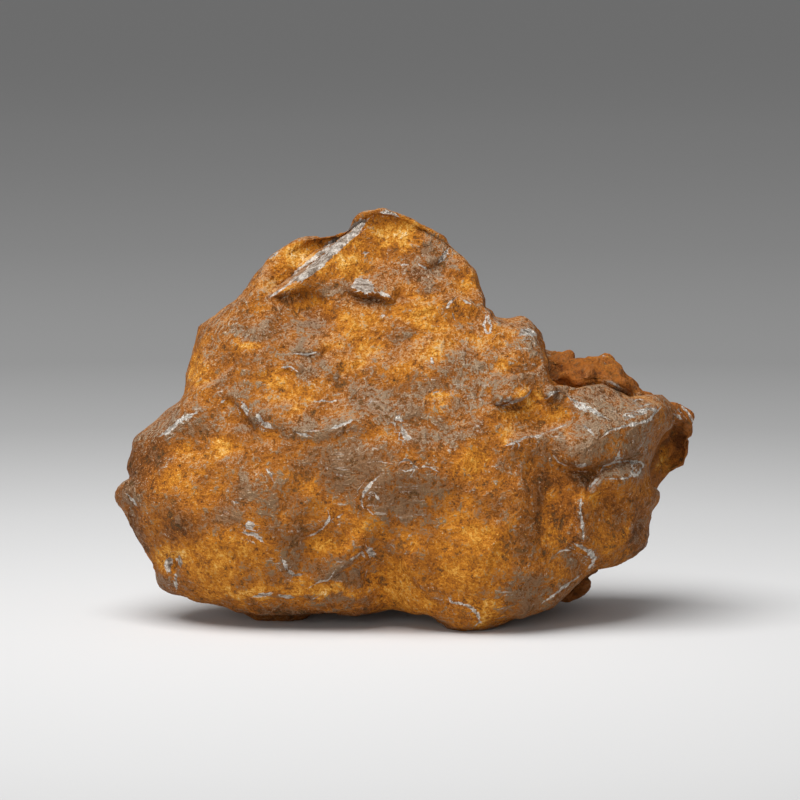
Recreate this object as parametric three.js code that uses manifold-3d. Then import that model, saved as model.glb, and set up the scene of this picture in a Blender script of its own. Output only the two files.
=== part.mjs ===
// A hand-sized iron meteorite: one natural lump of metal with a broad thumb-marked face,
// a sharp lip at the upper left, a chipped block at the right and a rough crust lobe behind it.
// Millimetres, +Z up. The face looks along -Y and the lump rests on three worn feet.

import * as THREE from "three";
import { ImprovedNoise } from "three/addons/math/ImprovedNoise.js";
import { mergeVertices } from "three/addons/utils/BufferGeometryUtils.js";
import Module from "manifold-3d";

const wasm = await Module();
wasm.setup();

// Driving dimensions.
const width = 131.5; // along X, the longest way
const depth = 70.5; // along Y, from the face to the back
const height = 92; // from the ground to the peak
const footWear = 0.8; // how far each foot is worn flat
const archGap = 3.2; // least room under the rest of the underside
const archRise = 3; // how much further the hollows of the underside go up
const faceDetail = 17; // cuts along each edge of the sphere that the face mass starts from
const rearDetail = 12;

// The face is laid out as a viewer meets it: [across, up] on the upright plane y = 0,
// from an eye this far in front, tilted down by this many degrees, level with this height.
const eye = { distance: 1100, tilt: THREE.MathUtils.degToRad(6), level: 50.5 };
const groundLevel = 1.3; // height of the ground in that layout
const middle = new THREE.Vector3(0, 2, 45); // the trimming planes and scoops are laid round this point

// The front mass, with the peak, the left shoulder and the block. Its rim is the line where
// the surface turns from front to back: [across, up, y].
const faceMass = {
  heart: [0, 34.8],
  front: -33,
  back: 16,
  frontSquareness: 2.5,
  backSquareness: 3.2,
  rim: [
    [-64.4, 29.3, -4], [-63.5, 30.9, -5], [-61.1, 32.5, -5], [-61.4, 35, -4], [-60.1, 41.3, -2],
    [-57.8, 43.8, 0], [-48.4, 51.6, 7], [-48.1, 56.8, 11], [-45.1, 65.3, 14], [-43.6, 67.8, 14],
    [-40, 70.5, 14], [-35.6, 74.8, 14], [-30.5, 81.3, 13], [-22.5, 86.7, 11], [-13.3, 88, 8],
    [-9.7, 91.4, 4], [-7, 92.9, 3], [-3.8, 93.2, 3], [7.4, 88.5, 3], [14, 82.9, 4],
    [15.1, 81.1, 4], [16.8, 79.5, 4], [18.8, 73.5, 3], [18.7, 71.2, 2], [20.5, 70.3, 1],
    [27.7, 68.8, 1], [31.7, 64.7, 1], [33.1, 58.8, -2], [32.2, 57.2, -4], [35.1, 53, -8],
    [37.8, 52.5, -8], [45.9, 54.5, -4], [49.3, 53.4, -3], [52.2, 51.2, -2], [55.3, 51, -2],
    [59, 51.8, 0], [62.1, 48.9, 2], [61.7, 44.4, 1], [58.7, 40.8, -1], [56.5, 34.1, -3],
    [56.9, 31.1, -2], [58.4, 28.7, -1], [56.4, 21.7, -2], [56.2, 18.5, -3], [54.5, 16.4, -6],
    [48.8, 13.1, -11], [44.3, 12.2, -15], [41.6, 10.4, -16], [32.2, 2.3, -20], [25.9, -0.3, -22],
    [20.2, -2.2, -24], [15.9, -3.4, -26], [9.2, -1.6, -23], [2.5, 1.9, -15], [-1.6, 2.3, -12],
    [-18.9, -0.1, -11], [-28.4, -0.3, -11], [-35.8, 1.7, -11], [-47.7, 5, -8], [-53.3, 7.6, -7],
    [-54.9, 9.3, -7], [-55.6, 12.9, -7], [-59.6, 18.4, -5], [-62.7, 26.2, -5], [-63.9, 27.5, -4],
  ],
};

// The back of the lump and the rough crust lobe that shows at the right.
const rearMass = {
  heart: [6.8, 39.3],
  front: -4,
  back: 38,
  frontSquareness: 3,
  backSquareness: 2.6,
  rim: [
    [-52.9, 28, 8], [-52.5, 39.2, 10], [-46, 48.2, 13], [-41.6, 65.1, 17], [-31, 76.4, 17],
    [-18, 84.6, 12], [-4.5, 90.5, 8], [4.5, 87.6, 8], [11.5, 80.5, 9], [16.5, 70.8, 12],
    [33.1, 61.8, 14], [35.5, 62.2, 15], [38.5, 61.3, 16], [41, 59.3, 17], [43.4, 60.4, 17],
    [47.2, 60.5, 17], [48.6, 58.8, 17],
    [54.2, 54.5, 17], [55.6, 52.5, 17], [63.7, 50.3, 18], [67.1, 45.3, 18], [65.7, 41.7, 18],
    [65.2, 36.3, 18], [56.2, 28.5, 15], [50.6, 17.9, 12], [44.3, 11.3, 8], [41.6, 6.2, 5],
    [33.3, 1.7, 4], [26, -1.5, 8], [15.8, -3, 14], [4.5, -2, 14], [-9, 0, 12], [-22.5, 0, 10],
    [-33.8, 2.3, 10], [-43.9, 5.9, 9], [-49.5, 11.1, 8], [-52.2, 19, 8],
  ],
};

// Broad planes that lean the face back: y grows by lean[0] across and lean[1] upwards from at.
const faceSlopes = [
  { at: [-9, 42.4, -29], lean: [0, 0.7], soft: 2.5 }, // from the brow up to the peak
  { at: [22.5, 49.4, -25], lean: [0.42, 0.45], soft: 2.5 }, // the upper right
  { at: [-38.2, 46, -20.5], lean: [-0.42, 0.42], soft: 3 }, // the left shoulder
];

// Rounded lobes, and hollows where lift is below zero. size is the half width and half height.
const faceLobes = [
  { at: [24.8, 14.5], size: [20, 24], lift: 4.5 }, // right lobe
  { at: [-37.1, 22.4], size: [26, 20], lift: 2.5 }, // left lobe
  { at: [-51.8, 28], size: [10, 12], lift: 1.4 },
  { at: [-18.5, 28], size: [15, 16], lift: -1.8 },
  { at: [4, 24.6], size: [14, 11], lift: -1.5 }, // smooth round plate in the middle
  { at: [34.2, 26.9], size: [8, 15], lift: -3.2 }, // flank of the right lobe
  { at: [-2.7, 7.8], size: [7, 14], turn: 10, lift: -4.5 }, // valley between the lobes
  { at: [29.7, 46.5], size: [8.5, 5], turn: 6, lift: -2.4 }, // recess beside the block
  { at: [-20.2, 71.2], size: [10, 5], turn: -50, lift: -2.2 }, // under the lip
  { at: [-27.7, 52.8], size: [5.5, 5.5], lift: -1.2 },
  { at: [-19.3, 15.4], size: [8.5, 6.5], lift: -1.8 },
  { at: [26.8, 62], size: [7, 8], lift: 1.2 },
  { at: [2.5, 44.6], size: [3.6, 3.2], lift: -0.7 },
  { at: [-51.1, 13.8], size: [2, 2.2], lift: -1.5 }, // deep pit at the lower left
  { at: [9, 57.2], size: [16, 10], lift: 1.2 },
  { at: [-6.8, 61.8], size: [10, 8], lift: -1.2 },
  { at: [2.2, 86.5], size: [9, 6], lift: 1 },
  { at: [-39.4, 61.8], size: [8, 11], lift: -1.6 },
];

// Ledges follow a line of [across, up] points. Each side has a lift at the line and the width
// over which it fades: above is the side on the left of the way the line runs.
const faceLedges = [
  {
    // the sharp lip: the surface drops away behind it
    line: [[-29.9, 73.7], [-26.8, 75.9], [-20.2, 80.4], [-16.6, 83.1], [-11.9, 88.3], [-6.5, 92.6]],
    above: [-7.5, 22],
    below: [2.4, 9],
    taper: 0.14,
  },
  { line: [[-29.9, 73.5], [-25.9, 74.8], [-22.5, 75.5], [-15.8, 72.3]], below: [-1.8, 9] },
  { line: [[-12.1, 76.2], [-7.9, 74.1], [-3.2, 73.2], [-1.1, 72.2]], above: [2.8, 5.5], below: [-1.2, 5] },
  { line: [[-0.2, 81.3], [4, 80.4], [8.5, 81.8], [11.2, 85.4]], above: [1.1, 12], below: [-0.9, 6] },
  {
    // the brow across the face
    line: [[-36.9, 50], [-32.9, 46], [-26.1, 42.8], [-17.1, 42.2], [-12.6, 44], [-1.8, 42.4]],
    above: [1.5, 7],
    below: [-0.5, 6],
  },
  { line: [[-40, 51.4], [-35.8, 48], [-31.9, 43.8]], above: [0.6, 5], below: [-1.4, 6] },
  {
    // edge of the round plate
    line: [[-8.5, 22.6], [-7.6, 29.1], [-4, 33.2], [1.6, 35.6], [8.1, 34.8], [15.3, 30.5]],
    below: [1, 8.5],
  },
  { line: [[20.7, 49.4], [25, 50.3], [29.7, 52.1], [30.2, 53.2]], above: [1.8, 8], below: [-1.6, 7] },
  { line: [[32.9, 50.5], [34.9, 51.6], [36, 53]], above: [1.6, 4], below: [-0.8, 4] },
  { line: [[23.2, 39.7], [29.9, 42.2], [37.8, 44.4]], above: [0.9, 2], below: [1.5, 8] },
  { line: [[-2, 73.2], [6.5, 71.6], [12.6, 74.1], [18.7, 70.8]], below: [1.3, 10] },
  { line: [[33.1, 59], [29.2, 56.1], [22.5, 54.1]], above: [0.5, 8], below: [-0.7, 5] },
  { line: [[19.6, 71.2], [20.5, 65.3], [20.9, 61.3]], above: [0.8, 3], below: [-0.4, 6] },
  { line: [[-24.5, 61.1], [-20.7, 60.8], [-16.2, 62]], above: [0.9, 4], below: [-0.4, 4] },
  { line: [[-27.2, 57.9], [-24.8, 57.5], [-22.3, 56.3]], above: [0.9, 4], below: [-0.4, 4] },
  { line: [[-15.5, 26.2], [-18, 21.2], [-23.8, 18.5]], below: [0.9, 6] },
  { line: [[-21.1, 7.3], [-14.6, 11.3], [-5.8, 17]], above: [1.2, 8], below: [-0.9, 6] },
  { line: [[-34.2, 5.3], [-26.1, 5.9], [-18.5, 5.3]], above: [0.8, 6], below: [-0.5, 4] },
  { line: [[0, 13.8], [3.8, 7.8], [10.4, 3.5]], above: [1.4, 9], below: [-0.8, 6] },
  { line: [[11.2, 5], [16.7, 3], [18, -1]], below: [0.8, 5] },
  { line: [[41, 28.9], [41.6, 20.8], [43.9, 12.7]], above: [1.5, 3.5], below: [1.5, 3] }, // upright ridge
  {
    // bevel round the lower right face
    line: [[52.7, 29.8], [53.6, 26.2], [54, 19.9], [50, 16.3], [46.3, 15.4]],
    above: [-1.4, 4],
    below: [0.9, 6],
  },
  { line: [[-56.7, 41], [-51.3, 44.4], [-43.6, 48.5]], above: [1.2, 5], below: [1.2, 6] }, // left shoulder
  { line: [[-48.6, 52.1], [-42.5, 54.3], [-35.3, 59.5]], above: [-1.4, 6], below: [0.6, 7] },
];

// The chipped block at the right: flat facets between corners given as [across, up, lift].
const blockCorners = {
  tip: [38.5, 51.2, 0.3],
  crest: [45.9, 54.3, 0],
  backEdge: [52.2, 51.2, 0],
  backCorner: [55.6, 50.7, 0.6],
  horn: [57.4, 48.7, 3.2],
  hornSide: [59.4, 49.4, 1.6],
  outerTop: [61.2, 47.8, 0],
  outerLow: [60.3, 43.8, 0],
  lensTop: [52.3, 47.6, 3.2],
  knee: [49.6, 46, 3.8],
  ridge: [44.1, 48.7, 2.3],
  lensFoot: [53.3, 44.6, 4.4],
  lensEnd: [57.2, 47, 4.2],
  shelf: [47.5, 43.1, 4.8],
  cheekTop: [50.4, 42.7, 4.6],
  brow: [38.2, 44.6, 1],
  crown: [41.6, 39.2, 4],
  leftEdge: [34, 41.3, 0],
  leftFoot: [36, 36.3, 1.2],
  foot: [40.1, 35.3, 2.6],
  rightFoot: [47.5, 36.1, 2.8],
  rightEdge: [50.6, 39, 3.6],
  cheek: [54, 39.5, 2.4],
  cheekLow: [51.8, 37.2, 1],
  sideLow: [56.5, 36.8, 0],
  side: [58.3, 41.3, 0],
  chipLeft: [45.9, 33.5, 2.2],
  chipTop: [50.5, 36.4, 0.8],
  chipRight: [55.6, 35.4, 1.4],
  chipFoot: [51.5, 32.8, 2.8],
  chipTail: [43, 30.2, 1.2],
  hollowLeft: [44.5, 28.7, 0],
  hollowRight: [53.3, 28.9, 0.4],
};
const blockFacets = [
  "tip ridge crest", "ridge knee crest", "crest knee backEdge", "knee lensTop backEdge",
  "lensTop backCorner backEdge", "lensTop horn backCorner", "knee lensFoot lensTop",
  "lensTop lensFoot lensEnd", "lensTop lensEnd horn", "knee shelf lensFoot",
  "shelf cheekTop lensFoot", "tip brow ridge", "brow shelf ridge", "ridge shelf knee",
  "brow leftEdge crown", "brow crown shelf", "leftEdge leftFoot crown", "leftFoot foot crown",
  "foot rightFoot crown", "rightFoot rightEdge crown", "rightEdge shelf crown",
  "rightEdge cheekTop shelf", "cheekTop rightEdge cheek", "cheekTop cheek lensFoot",
  "lensFoot cheek side", "lensFoot side lensEnd", "rightEdge rightFoot cheek",
  "rightFoot cheekLow cheek", "cheekLow sideLow cheek", "cheek sideLow side",
  "lensEnd side outerLow", "lensEnd outerLow outerTop", "lensEnd outerTop hornSide",
  "horn lensEnd hornSide", "horn hornSide backCorner", "chipLeft chipFoot chipTop",
  "chipTop chipFoot chipRight", "chipLeft chipTail chipFoot", "chipTail hollowLeft chipFoot",
  "hollowLeft hollowRight chipFoot", "hollowRight chipRight chipFoot", "foot chipTail chipLeft",
  "foot chipLeft rightFoot", "rightFoot chipLeft chipTop", "rightFoot chipTop cheekLow",
  "cheekLow chipTop chipRight", "cheekLow chipRight sideLow",
];

// Lumps and hollows of the rough crust lobe.
const rearLobes = [
  { at: [38, 56.5], size: [8, 5.5], turn: -15, lift: 9 },
  { at: [35.4, 57.4], size: [3, 2], turn: 20, lift: -2.5 },
  { at: [46, 56], size: [8, 6.5], lift: 10 },
  { at: [52, 53], size: [9, 5], turn: -37, lift: 9 },
  { at: [63.9, 47.3], size: [4.5, 5], lift: 3 },
  { at: [61.7, 38.8], size: [5, 7.5], lift: -7 },
  { at: [39.6, 6.4], size: [7, 3], turn: 40, lift: 3 },
];

// Planes that trim the rear mass: the way each one faces and its distance from the middle.
const rearTrims = [
  { facing: [0.1, 1, 0.12], reach: 32 },
  { facing: [-0.75, 0.62, 0.25], reach: 43 },
  { facing: [-0.25, 0.62, 0.75], reach: 44 },
  { facing: [0.35, 0.65, 0.62], reach: 40 },
  { facing: [0.45, 0.9, -0.05], reach: 46 },
  { facing: [0.1, 0.72, -0.7], reach: 51 },
  { facing: [-0.62, 0.45, -0.62], reach: 52 },
];

// Thumb-like scoops over the back, spread evenly along a spiral.
const scoopCount = 52;
const scoopSpread = { mean: 18, swing: 6 }; // half angle in degrees, seen from the middle
const scoopDepth = { mean: 3.6, swing: 1.6 };

// The feet: where the underside comes down, how wide, and its height above the ground.
const feet = [
  { at: [16, -19], reach: 11, gap: -footWear },
  { at: [-28, -3], reach: 14, gap: -footWear },
  { at: [22, 24], reach: 12, gap: -footWear },
  { at: [34, 6], reach: 11, gap: 0.6 },
];

const lumps = { wavelength: 8, height: 0.55 }; // small unevenness everywhere
const noise = new ImprovedNoise();
const { clamp, lerp, smoothstep, degToRad, euclideanModulo } = THREE.MathUtils;

// How far the rim lies from the heart at each turn, and its depth, as evenly spaced tables.
// The calm tables are the same averaged over a wide arc: bumps of the rim fade into them.
function rimTables(mass) {
  const steps = 720;
  const span = 32;
  const curve = new THREE.CatmullRomCurve3(
    mass.rim.map((point) => new THREE.Vector3(...point)),
    true,
    "catmullrom",
    0.5,
  );
  const samples = curve.getPoints(mass.rim.length * 12).map((point) => {
    const across = point.x - mass.heart[0];
    const up = point.y - mass.heart[1];
    return { turn: Math.atan2(up, across), reach: Math.hypot(across, up), y: point.z };
  });
  samples.sort((a, b) => a.turn - b.turn);
  const reach = [];
  const y = [];
  let next = 0;
  for (let i = 0; i < steps; i++) {
    const turn = (2 * Math.PI * i) / steps - Math.PI;
    while (next < samples.length - 1 && samples[next].turn <= turn) next++;
    const after = samples[next];
    const before = samples[Math.max(next - 1, 0)];
    const share = clamp((turn - before.turn) / (after.turn - before.turn || 1), 0, 1);
    reach.push(lerp(before.reach, after.reach, share));
    y.push(lerp(before.y, after.y, share));
  }
  const calmReach = averaged(averaged(reach, span), span);
  const calmY = averaged(averaged(y, span), span);
  return { reach, y, calmReach, calmY };
}

function averaged(table, span) {
  return table.map((_, i) => {
    let sum = 0;
    for (let k = -span; k <= span; k++) sum += table[euclideanModulo(i + k, table.length)];
    return sum / (2 * span + 1);
  });
}

function lookUp(table, turn) {
  const place = euclideanModulo((turn + Math.PI) / (2 * Math.PI), 1) * table.length;
  const low = Math.floor(place);
  return lerp(table[low % table.length], table[(low + 1) % table.length], place - low);
}

// A direction from the heart becomes a point of the mass. Front and back are squared-off
// domes over the rim: y runs from the rim to the pole by |facing| ^ (2 / squareness). Bumps of
// the rim wander a little behind it, so that none runs straight back.
function massPoint(direction, mass, tables) {
  const facing = -direction.y;
  const turn = Math.atan2(direction.z, direction.x);
  const squareness = facing > 0 ? mass.frontSquareness : mass.backSquareness;
  const pole = facing > 0 ? mass.front : mass.back;
  const bumpFade = facing > 0 ? 0.38 : 0.3;
  const wandered = facing > 0 ? turn : turn + 2 * facing ** 2 * Math.sin(5 * turn + 1);
  const rho = Math.hypot(direction.x, direction.z) ** (2 / squareness);
  const towardPole = Math.abs(facing) ** (2 / squareness);
  const bumpShare = Math.exp(-((facing / bumpFade) ** 2));
  const reach = lerp(lookUp(tables.calmReach, turn), lookUp(tables.reach, wandered), bumpShare) * rho;
  const rimY = lerp(lookUp(tables.calmY, turn), lookUp(tables.y, wandered), bumpShare);
  return {
    across: mass.heart[0] + reach * Math.cos(turn),
    up: mass.heart[1] + reach * Math.sin(turn),
    y: lerp(rimY, pole, towardPole),
    rimY,
    facing,
  };
}

// Soft version of max(0, value).
function softExcess(value, soft) {
  return 0.5 * (value + Math.hypot(value, soft));
}

function slopeDepth(y, across, up, slope) {
  const plane = slope.at[2] + slope.lean[0] * (across - slope.at[0]) + slope.lean[1] * (up - slope.at[1]);
  return softExcess(plane - y, slope.soft);
}

function lobeLift(across, up, lobe) {
  const turn = degToRad(lobe.turn ?? 0);
  const dx = across - lobe.at[0];
  const dz = up - lobe.at[1];
  const a = (dx * Math.cos(turn) + dz * Math.sin(turn)) / lobe.size[0];
  const b = (dz * Math.cos(turn) - dx * Math.sin(turn)) / lobe.size[1];
  return lobe.lift * Math.max(0, 1 - a * a - b * b) ** 1.6;
}

function ledgeLift(across, up, ledge) {
  const [aboveLift, aboveWidth] = ledge.above ?? [0, 1];
  const [belowLift, belowWidth] = ledge.below ?? [0, 1];
  const edge = 0.9; // half width of the step itself
  const taper = ledge.taper ?? 0.2; // share of the length over which each end fades
  const lengths = ledge.line.slice(1).map(([x, z], i) => {
    const [lastX, lastZ] = ledge.line[i];
    return Math.hypot(x - lastX, z - lastZ);
  });
  const total = lengths.reduce((sum, length) => sum + length, 0);
  let nearest = { distance: Infinity };
  let walked = 0;
  lengths.forEach((length, i) => {
    const [x, z] = ledge.line[i];
    const dirX = (ledge.line[i + 1][0] - x) / length;
    const dirZ = (ledge.line[i + 1][1] - z) / length;
    const along = clamp((across - x) * dirX + (up - z) * dirZ, 0, length);
    const distance = Math.hypot(across - x - along * dirX, up - z - along * dirZ);
    if (distance < nearest.distance) {
      const side = Math.sign(dirX * (up - z) - dirZ * (across - x));
      nearest = { distance, side, share: (walked + along) / total };
    }
    walked += length;
  });
  const above = aboveLift * Math.max(0, 1 - nearest.distance / aboveWidth) ** 1.3;
  const below = belowLift * Math.max(0, 1 - nearest.distance / belowWidth) ** 1.3;
  const ends = smoothstep(nearest.share, 0, taper) * smoothstep(1 - nearest.share, 0, taper);
  return lerp(below, above, smoothstep(nearest.side * nearest.distance, -edge, edge)) * ends;
}

function blockLift(across, up) {
  for (const names of blockFacets) {
    const [a, b, c] = names.split(" ").map((name) => blockCorners[name]);
    const area = (b[0] - a[0]) * (c[1] - a[1]) - (c[0] - a[0]) * (b[1] - a[1]);
    const shareB = ((across - a[0]) * (c[1] - a[1]) - (c[0] - a[0]) * (up - a[1])) / area;
    const shareC = ((b[0] - a[0]) * (up - a[1]) - (across - a[0]) * (b[1] - a[1])) / area;
    if (shareB >= 0 && shareC >= 0 && shareB + shareC <= 1) {
      return a[2] + (b[2] - a[2]) * shareB + (c[2] - a[2]) * shareC;
    }
  }
  return 0;
}

// Nothing that is carved cuts back past the rim.
function heldByRim(point, front) {
  return point.facing > 0 ? point.rimY - softExcess(point.rimY - point.y, 1.5 * front) : point.y;
}

function carveFace(point) {
  const front = smoothstep(point.facing, 0, 0.25);
  const { across, up } = point;
  const nearRim = smoothstep(point.facing, 0, 0.1);
  for (const slope of faceSlopes) point.y += slopeDepth(point.y, across, up, slope) * nearRim;
  for (const lobe of faceLobes) point.y -= lobeLift(across, up, lobe) * front;
  point.y -= blockLift(across, up) * nearRim;
  for (const ledge of faceLedges) point.y -= ledgeLift(across, up, ledge) * front;
  point.y = heldByRim(point, front);
}

function carveRear(point) {
  const front = smoothstep(point.facing, 0, 0.25);
  for (const lobe of rearLobes) point.y -= lobeLift(point.across, point.up, lobe) * front;
  point.y = heldByRim(point, front);
}

// From the viewer's layout to the stone's own frame: the eye sees a point that is further
// back drawn towards the middle, and looks down on it.
function toFrame({ across, up, y }) {
  const shrink = 1 + (y * Math.cos(eye.tilt)) / eye.distance;
  const raised = eye.level + (up - eye.level) * shrink - y * Math.sin(eye.tilt);
  return new THREE.Vector3(across * shrink, y, raised / Math.cos(eye.tilt));
}

function trim(point, trims) {
  for (const { facing, reach } of trims) {
    const normal = new THREE.Vector3(...facing).normalize();
    const over = point.clone().sub(middle).dot(normal) - reach;
    point.addScaledVector(normal, -softExcess(over, 2.5));
  }
}

function scoopList() {
  const goldenTurn = Math.PI * (3 - Math.sqrt(5));
  const scoops = [];
  for (let i = 0; i < scoopCount; i++) {
    const z = 1 - (2 * (i + 0.5)) / scoopCount;
    const ring = Math.sqrt(1 - z * z);
    const centre = new THREE.Vector3(ring * Math.cos(i * goldenTurn), ring * Math.sin(i * goldenTurn), z);
    const spread = degToRad(scoopSpread.mean + scoopSpread.swing * Math.sin(1.7 * i));
    const scoopedDepth = scoopDepth.mean + scoopDepth.swing * Math.sin(2.9 * i);
    if (centre.y > 0.3) scoops.push({ centre, spread, depth: scoopedDepth });
  }
  return scoops;
}

function scoopOut(point, scoops) {
  const outward = point.clone().sub(middle).normalize();
  let deepest = 0;
  for (const scoop of scoops) {
    const angle = outward.angleTo(scoop.centre) / scoop.spread;
    deepest = Math.max(deepest, scoop.depth * (1 - angle * angle));
  }
  point.addScaledVector(outward, -deepest);
}

// The underside stays clear of the ground, except where a foot comes down.
function liftUnderside(point) {
  const hollow = 0.5 + noise.noise(point.x / 13, point.y / 13, 0.5);
  const arch = archGap + archRise * hollow * smoothstep(point.y, -14, 4);
  let gap = arch;
  for (const foot of feet) {
    const near = 1 - Math.hypot(point.x - foot.at[0], point.y - foot.at[1]) / foot.reach;
    gap = Math.min(gap, lerp(arch, foot.gap, smoothstep(near, 0, 0.7)));
  }
  point.z += softExcess(groundLevel + gap - point.z, 0.8);
}

function roughen(point) {
  const outward = point.clone().sub(middle).normalize();
  const at = point.clone().divideScalar(lumps.wavelength);
  point.addScaledVector(outward, lumps.height * noise.noise(at.x, at.y, at.z));
}

function bareSphere(detail) {
  const sphere = new THREE.IcosahedronGeometry(1, detail);
  sphere.deleteAttribute("normal");
  sphere.deleteAttribute("uv");
  return mergeVertices(sphere);
}

function massGeometry(mass, detail, crowding, carve, trims = []) {
  const geometry = bareSphere(detail);
  const position = geometry.attributes.position;
  const tables = rimTables(mass);
  const scoops = scoopList();
  for (let i = 0; i < position.count; i++) {
    const direction = new THREE.Vector3().fromBufferAttribute(position, i);
    direction.y -= crowding; // more of the facets go to the side that looks forward
    const surface = massPoint(direction.normalize(), mass, tables);
    carve(surface);
    const point = toFrame(surface);
    trim(point, trims);
    scoopOut(point, scoops);
    roughen(point);
    liftUnderside(point);
    position.setXYZ(i, point.x, point.y, point.z);
  }
  return geometry;
}

function groundGeometry() {
  const side = 300;
  const block = new THREE.BoxGeometry(side, side, side);
  block.deleteAttribute("normal");
  block.deleteAttribute("uv");
  block.translate(0, 0, groundLevel - side / 2);
  return mergeVertices(block);
}

function toSolid(geometry) {
  return new wasm.Manifold(
    new wasm.Mesh({
      numProp: 3,
      vertProperties: new Float32Array(geometry.attributes.position.array),
      triVerts: new Uint32Array(geometry.index.array),
    }),
  );
}

function toGeometry(solid) {
  const mesh = solid.getMesh();
  const geometry = new THREE.BufferGeometry();
  geometry.setAttribute("position", new THREE.BufferAttribute(mesh.vertProperties, 3));
  geometry.setIndex(new THREE.BufferAttribute(mesh.triVerts, 1));
  return geometry;
}

// Brings the outside to the driving dimensions, centred over its own footprint on z = 0.
function settle(geometry) {
  geometry.computeBoundingBox();
  const box = geometry.boundingBox;
  const extent = box.getSize(new THREE.Vector3());
  const centre = box.getCenter(new THREE.Vector3());
  geometry.translate(-centre.x, -centre.y, -box.min.z);
  geometry.scale(width / extent.x, depth / extent.y, height / extent.z);
  geometry.computeVertexNormals();
  return geometry;
}

const frontSolid = toSolid(massGeometry(faceMass, faceDetail, 0.35, carveFace));
const rearSolid = toSolid(massGeometry(rearMass, rearDetail, 0, carveRear, rearTrims));
const stone = frontSolid.add(rearSolid).subtract(toSolid(groundGeometry()));

const rustedIron = new THREE.MeshStandardMaterial({ color: 0x8a5a2c, roughness: 0.6, metalness: 0.35 });
const meteorite = new THREE.Mesh(settle(toGeometry(stone)), rustedIron);
meteorite.name = "meteorite";

const group = new THREE.Group();
group.add(meteorite);

export default group;
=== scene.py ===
import math

import bpy
import numpy as np
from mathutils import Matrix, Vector


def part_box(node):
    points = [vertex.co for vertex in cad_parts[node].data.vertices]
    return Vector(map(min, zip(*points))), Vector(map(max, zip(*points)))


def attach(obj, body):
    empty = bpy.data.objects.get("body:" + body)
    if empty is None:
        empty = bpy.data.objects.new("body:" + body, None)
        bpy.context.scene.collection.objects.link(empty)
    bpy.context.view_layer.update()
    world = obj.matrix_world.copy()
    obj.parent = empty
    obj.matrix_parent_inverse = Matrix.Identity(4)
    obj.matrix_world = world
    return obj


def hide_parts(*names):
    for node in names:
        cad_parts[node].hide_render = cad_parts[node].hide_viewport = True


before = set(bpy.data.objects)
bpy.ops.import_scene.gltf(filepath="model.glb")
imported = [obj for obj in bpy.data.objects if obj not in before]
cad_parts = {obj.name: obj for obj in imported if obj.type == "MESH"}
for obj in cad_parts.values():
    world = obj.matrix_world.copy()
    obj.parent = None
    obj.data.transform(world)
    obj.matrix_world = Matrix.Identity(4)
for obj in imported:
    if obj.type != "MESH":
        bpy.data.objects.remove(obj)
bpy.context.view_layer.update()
print("frame loaded")

# An iron meteorite, worked out in millimetres as it looks from the front: u runs across, v up and
# y away from the eye. toRoom turns that layout into the room.
eye = {"distance": 1100, "tiltDeg": 6, "level": 50.5, "ground": 1.3}


def smooth(low, high, x):
    # 0 below low, 1 above high, 3t^2 - 2t^3 between them
    t = np.clip((x - low) / (high - low), 0, 1)
    return t * t * (3 - 2 * t)


def softOver(value, soft):
    # a max(0, value) whose corner is rounded over the length soft
    return 0.5 * (value + np.sqrt(value * value + soft * soft))


def gradientNoise(points, seed=0):
    # a random slope stands at each corner of the unit cell round a point; the heights that the
    # eight slopes reach at the point are blended by 6t^5 - 15t^4 + 10t^3
    cell = np.floor(points).astype(np.int64)
    t = points - cell
    fade = t**3 * (t * (t * 6 - 15) + 10)
    total = np.zeros(len(points))
    for corner in np.ndindex(2, 2, 2):
        mixed = ((cell + corner) * (73856093, 19349663, 83492791)).sum(1) + seed * 668265263
        mixed = ((mixed ^ (mixed >> 15)) * 2246822519) & 0xFFFFFFFF
        mixed = ((mixed ^ (mixed >> 13)) * 3266489917) & 0xFFFFFFFF
        turn = (mixed & 0xFFFF) * (2 * math.pi / 65536)
        rise = (mixed >> 16) / 32768 - 1
        ring = np.sqrt(np.clip(1 - rise * rise, 0, 1))
        d = t - corner
        height = d[:, 0] * ring * np.cos(turn) + d[:, 1] * ring * np.sin(turn) + d[:, 2] * rise
        total += height * np.prod(np.where(corner, fade, 1 - fade), axis=1)
    return total


def lumpNoise(points, size, octaves=1, seed=0):
    # gradient noise of that wavelength plus its halves, each half as high, about -1 to 1
    total = np.zeros(len(points))
    for k in range(octaves):
        total += gradientNoise(points * (2**k / size), seed + k) / 2**k
    return total * 1.6


def sphereGrid(cells, crowding):
    # a cube's six faces cut into cells of equal angle and pushed out to a sphere; adding the
    # crowding to each direction then draws them towards it, so that side gets more of them
    s = np.tan(np.linspace(-1, 1, cells + 1) * math.pi / 4)
    a, b = np.meshgrid(s, s, indexing="ij")
    one = np.ones_like(a)
    sheets = [(a, -one, b), (-a, one, b), (one, a, b), (-one, -a, b), (a, b, one), (a, -b, -one)]
    points = np.concatenate([np.stack(sheet, -1).reshape(-1, 3) for sheet in sheets])
    points /= np.linalg.norm(points, axis=1)[:, None]
    index = np.arange((cells + 1) ** 2).reshape(cells + 1, cells + 1)
    quad = np.stack([index[:-1, :-1], index[1:, :-1], index[1:, 1:], index[:-1, 1:]], -1)
    quads = np.concatenate([quad.reshape(-1, 4) + k * index.size for k in range(6)])
    _, first, where = np.unique(np.round(points, 6), axis=0, return_index=True, return_inverse=True)
    directions = points[first] + crowding
    return directions / np.linalg.norm(directions, axis=1)[:, None], where.reshape(-1)[quads]


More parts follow.
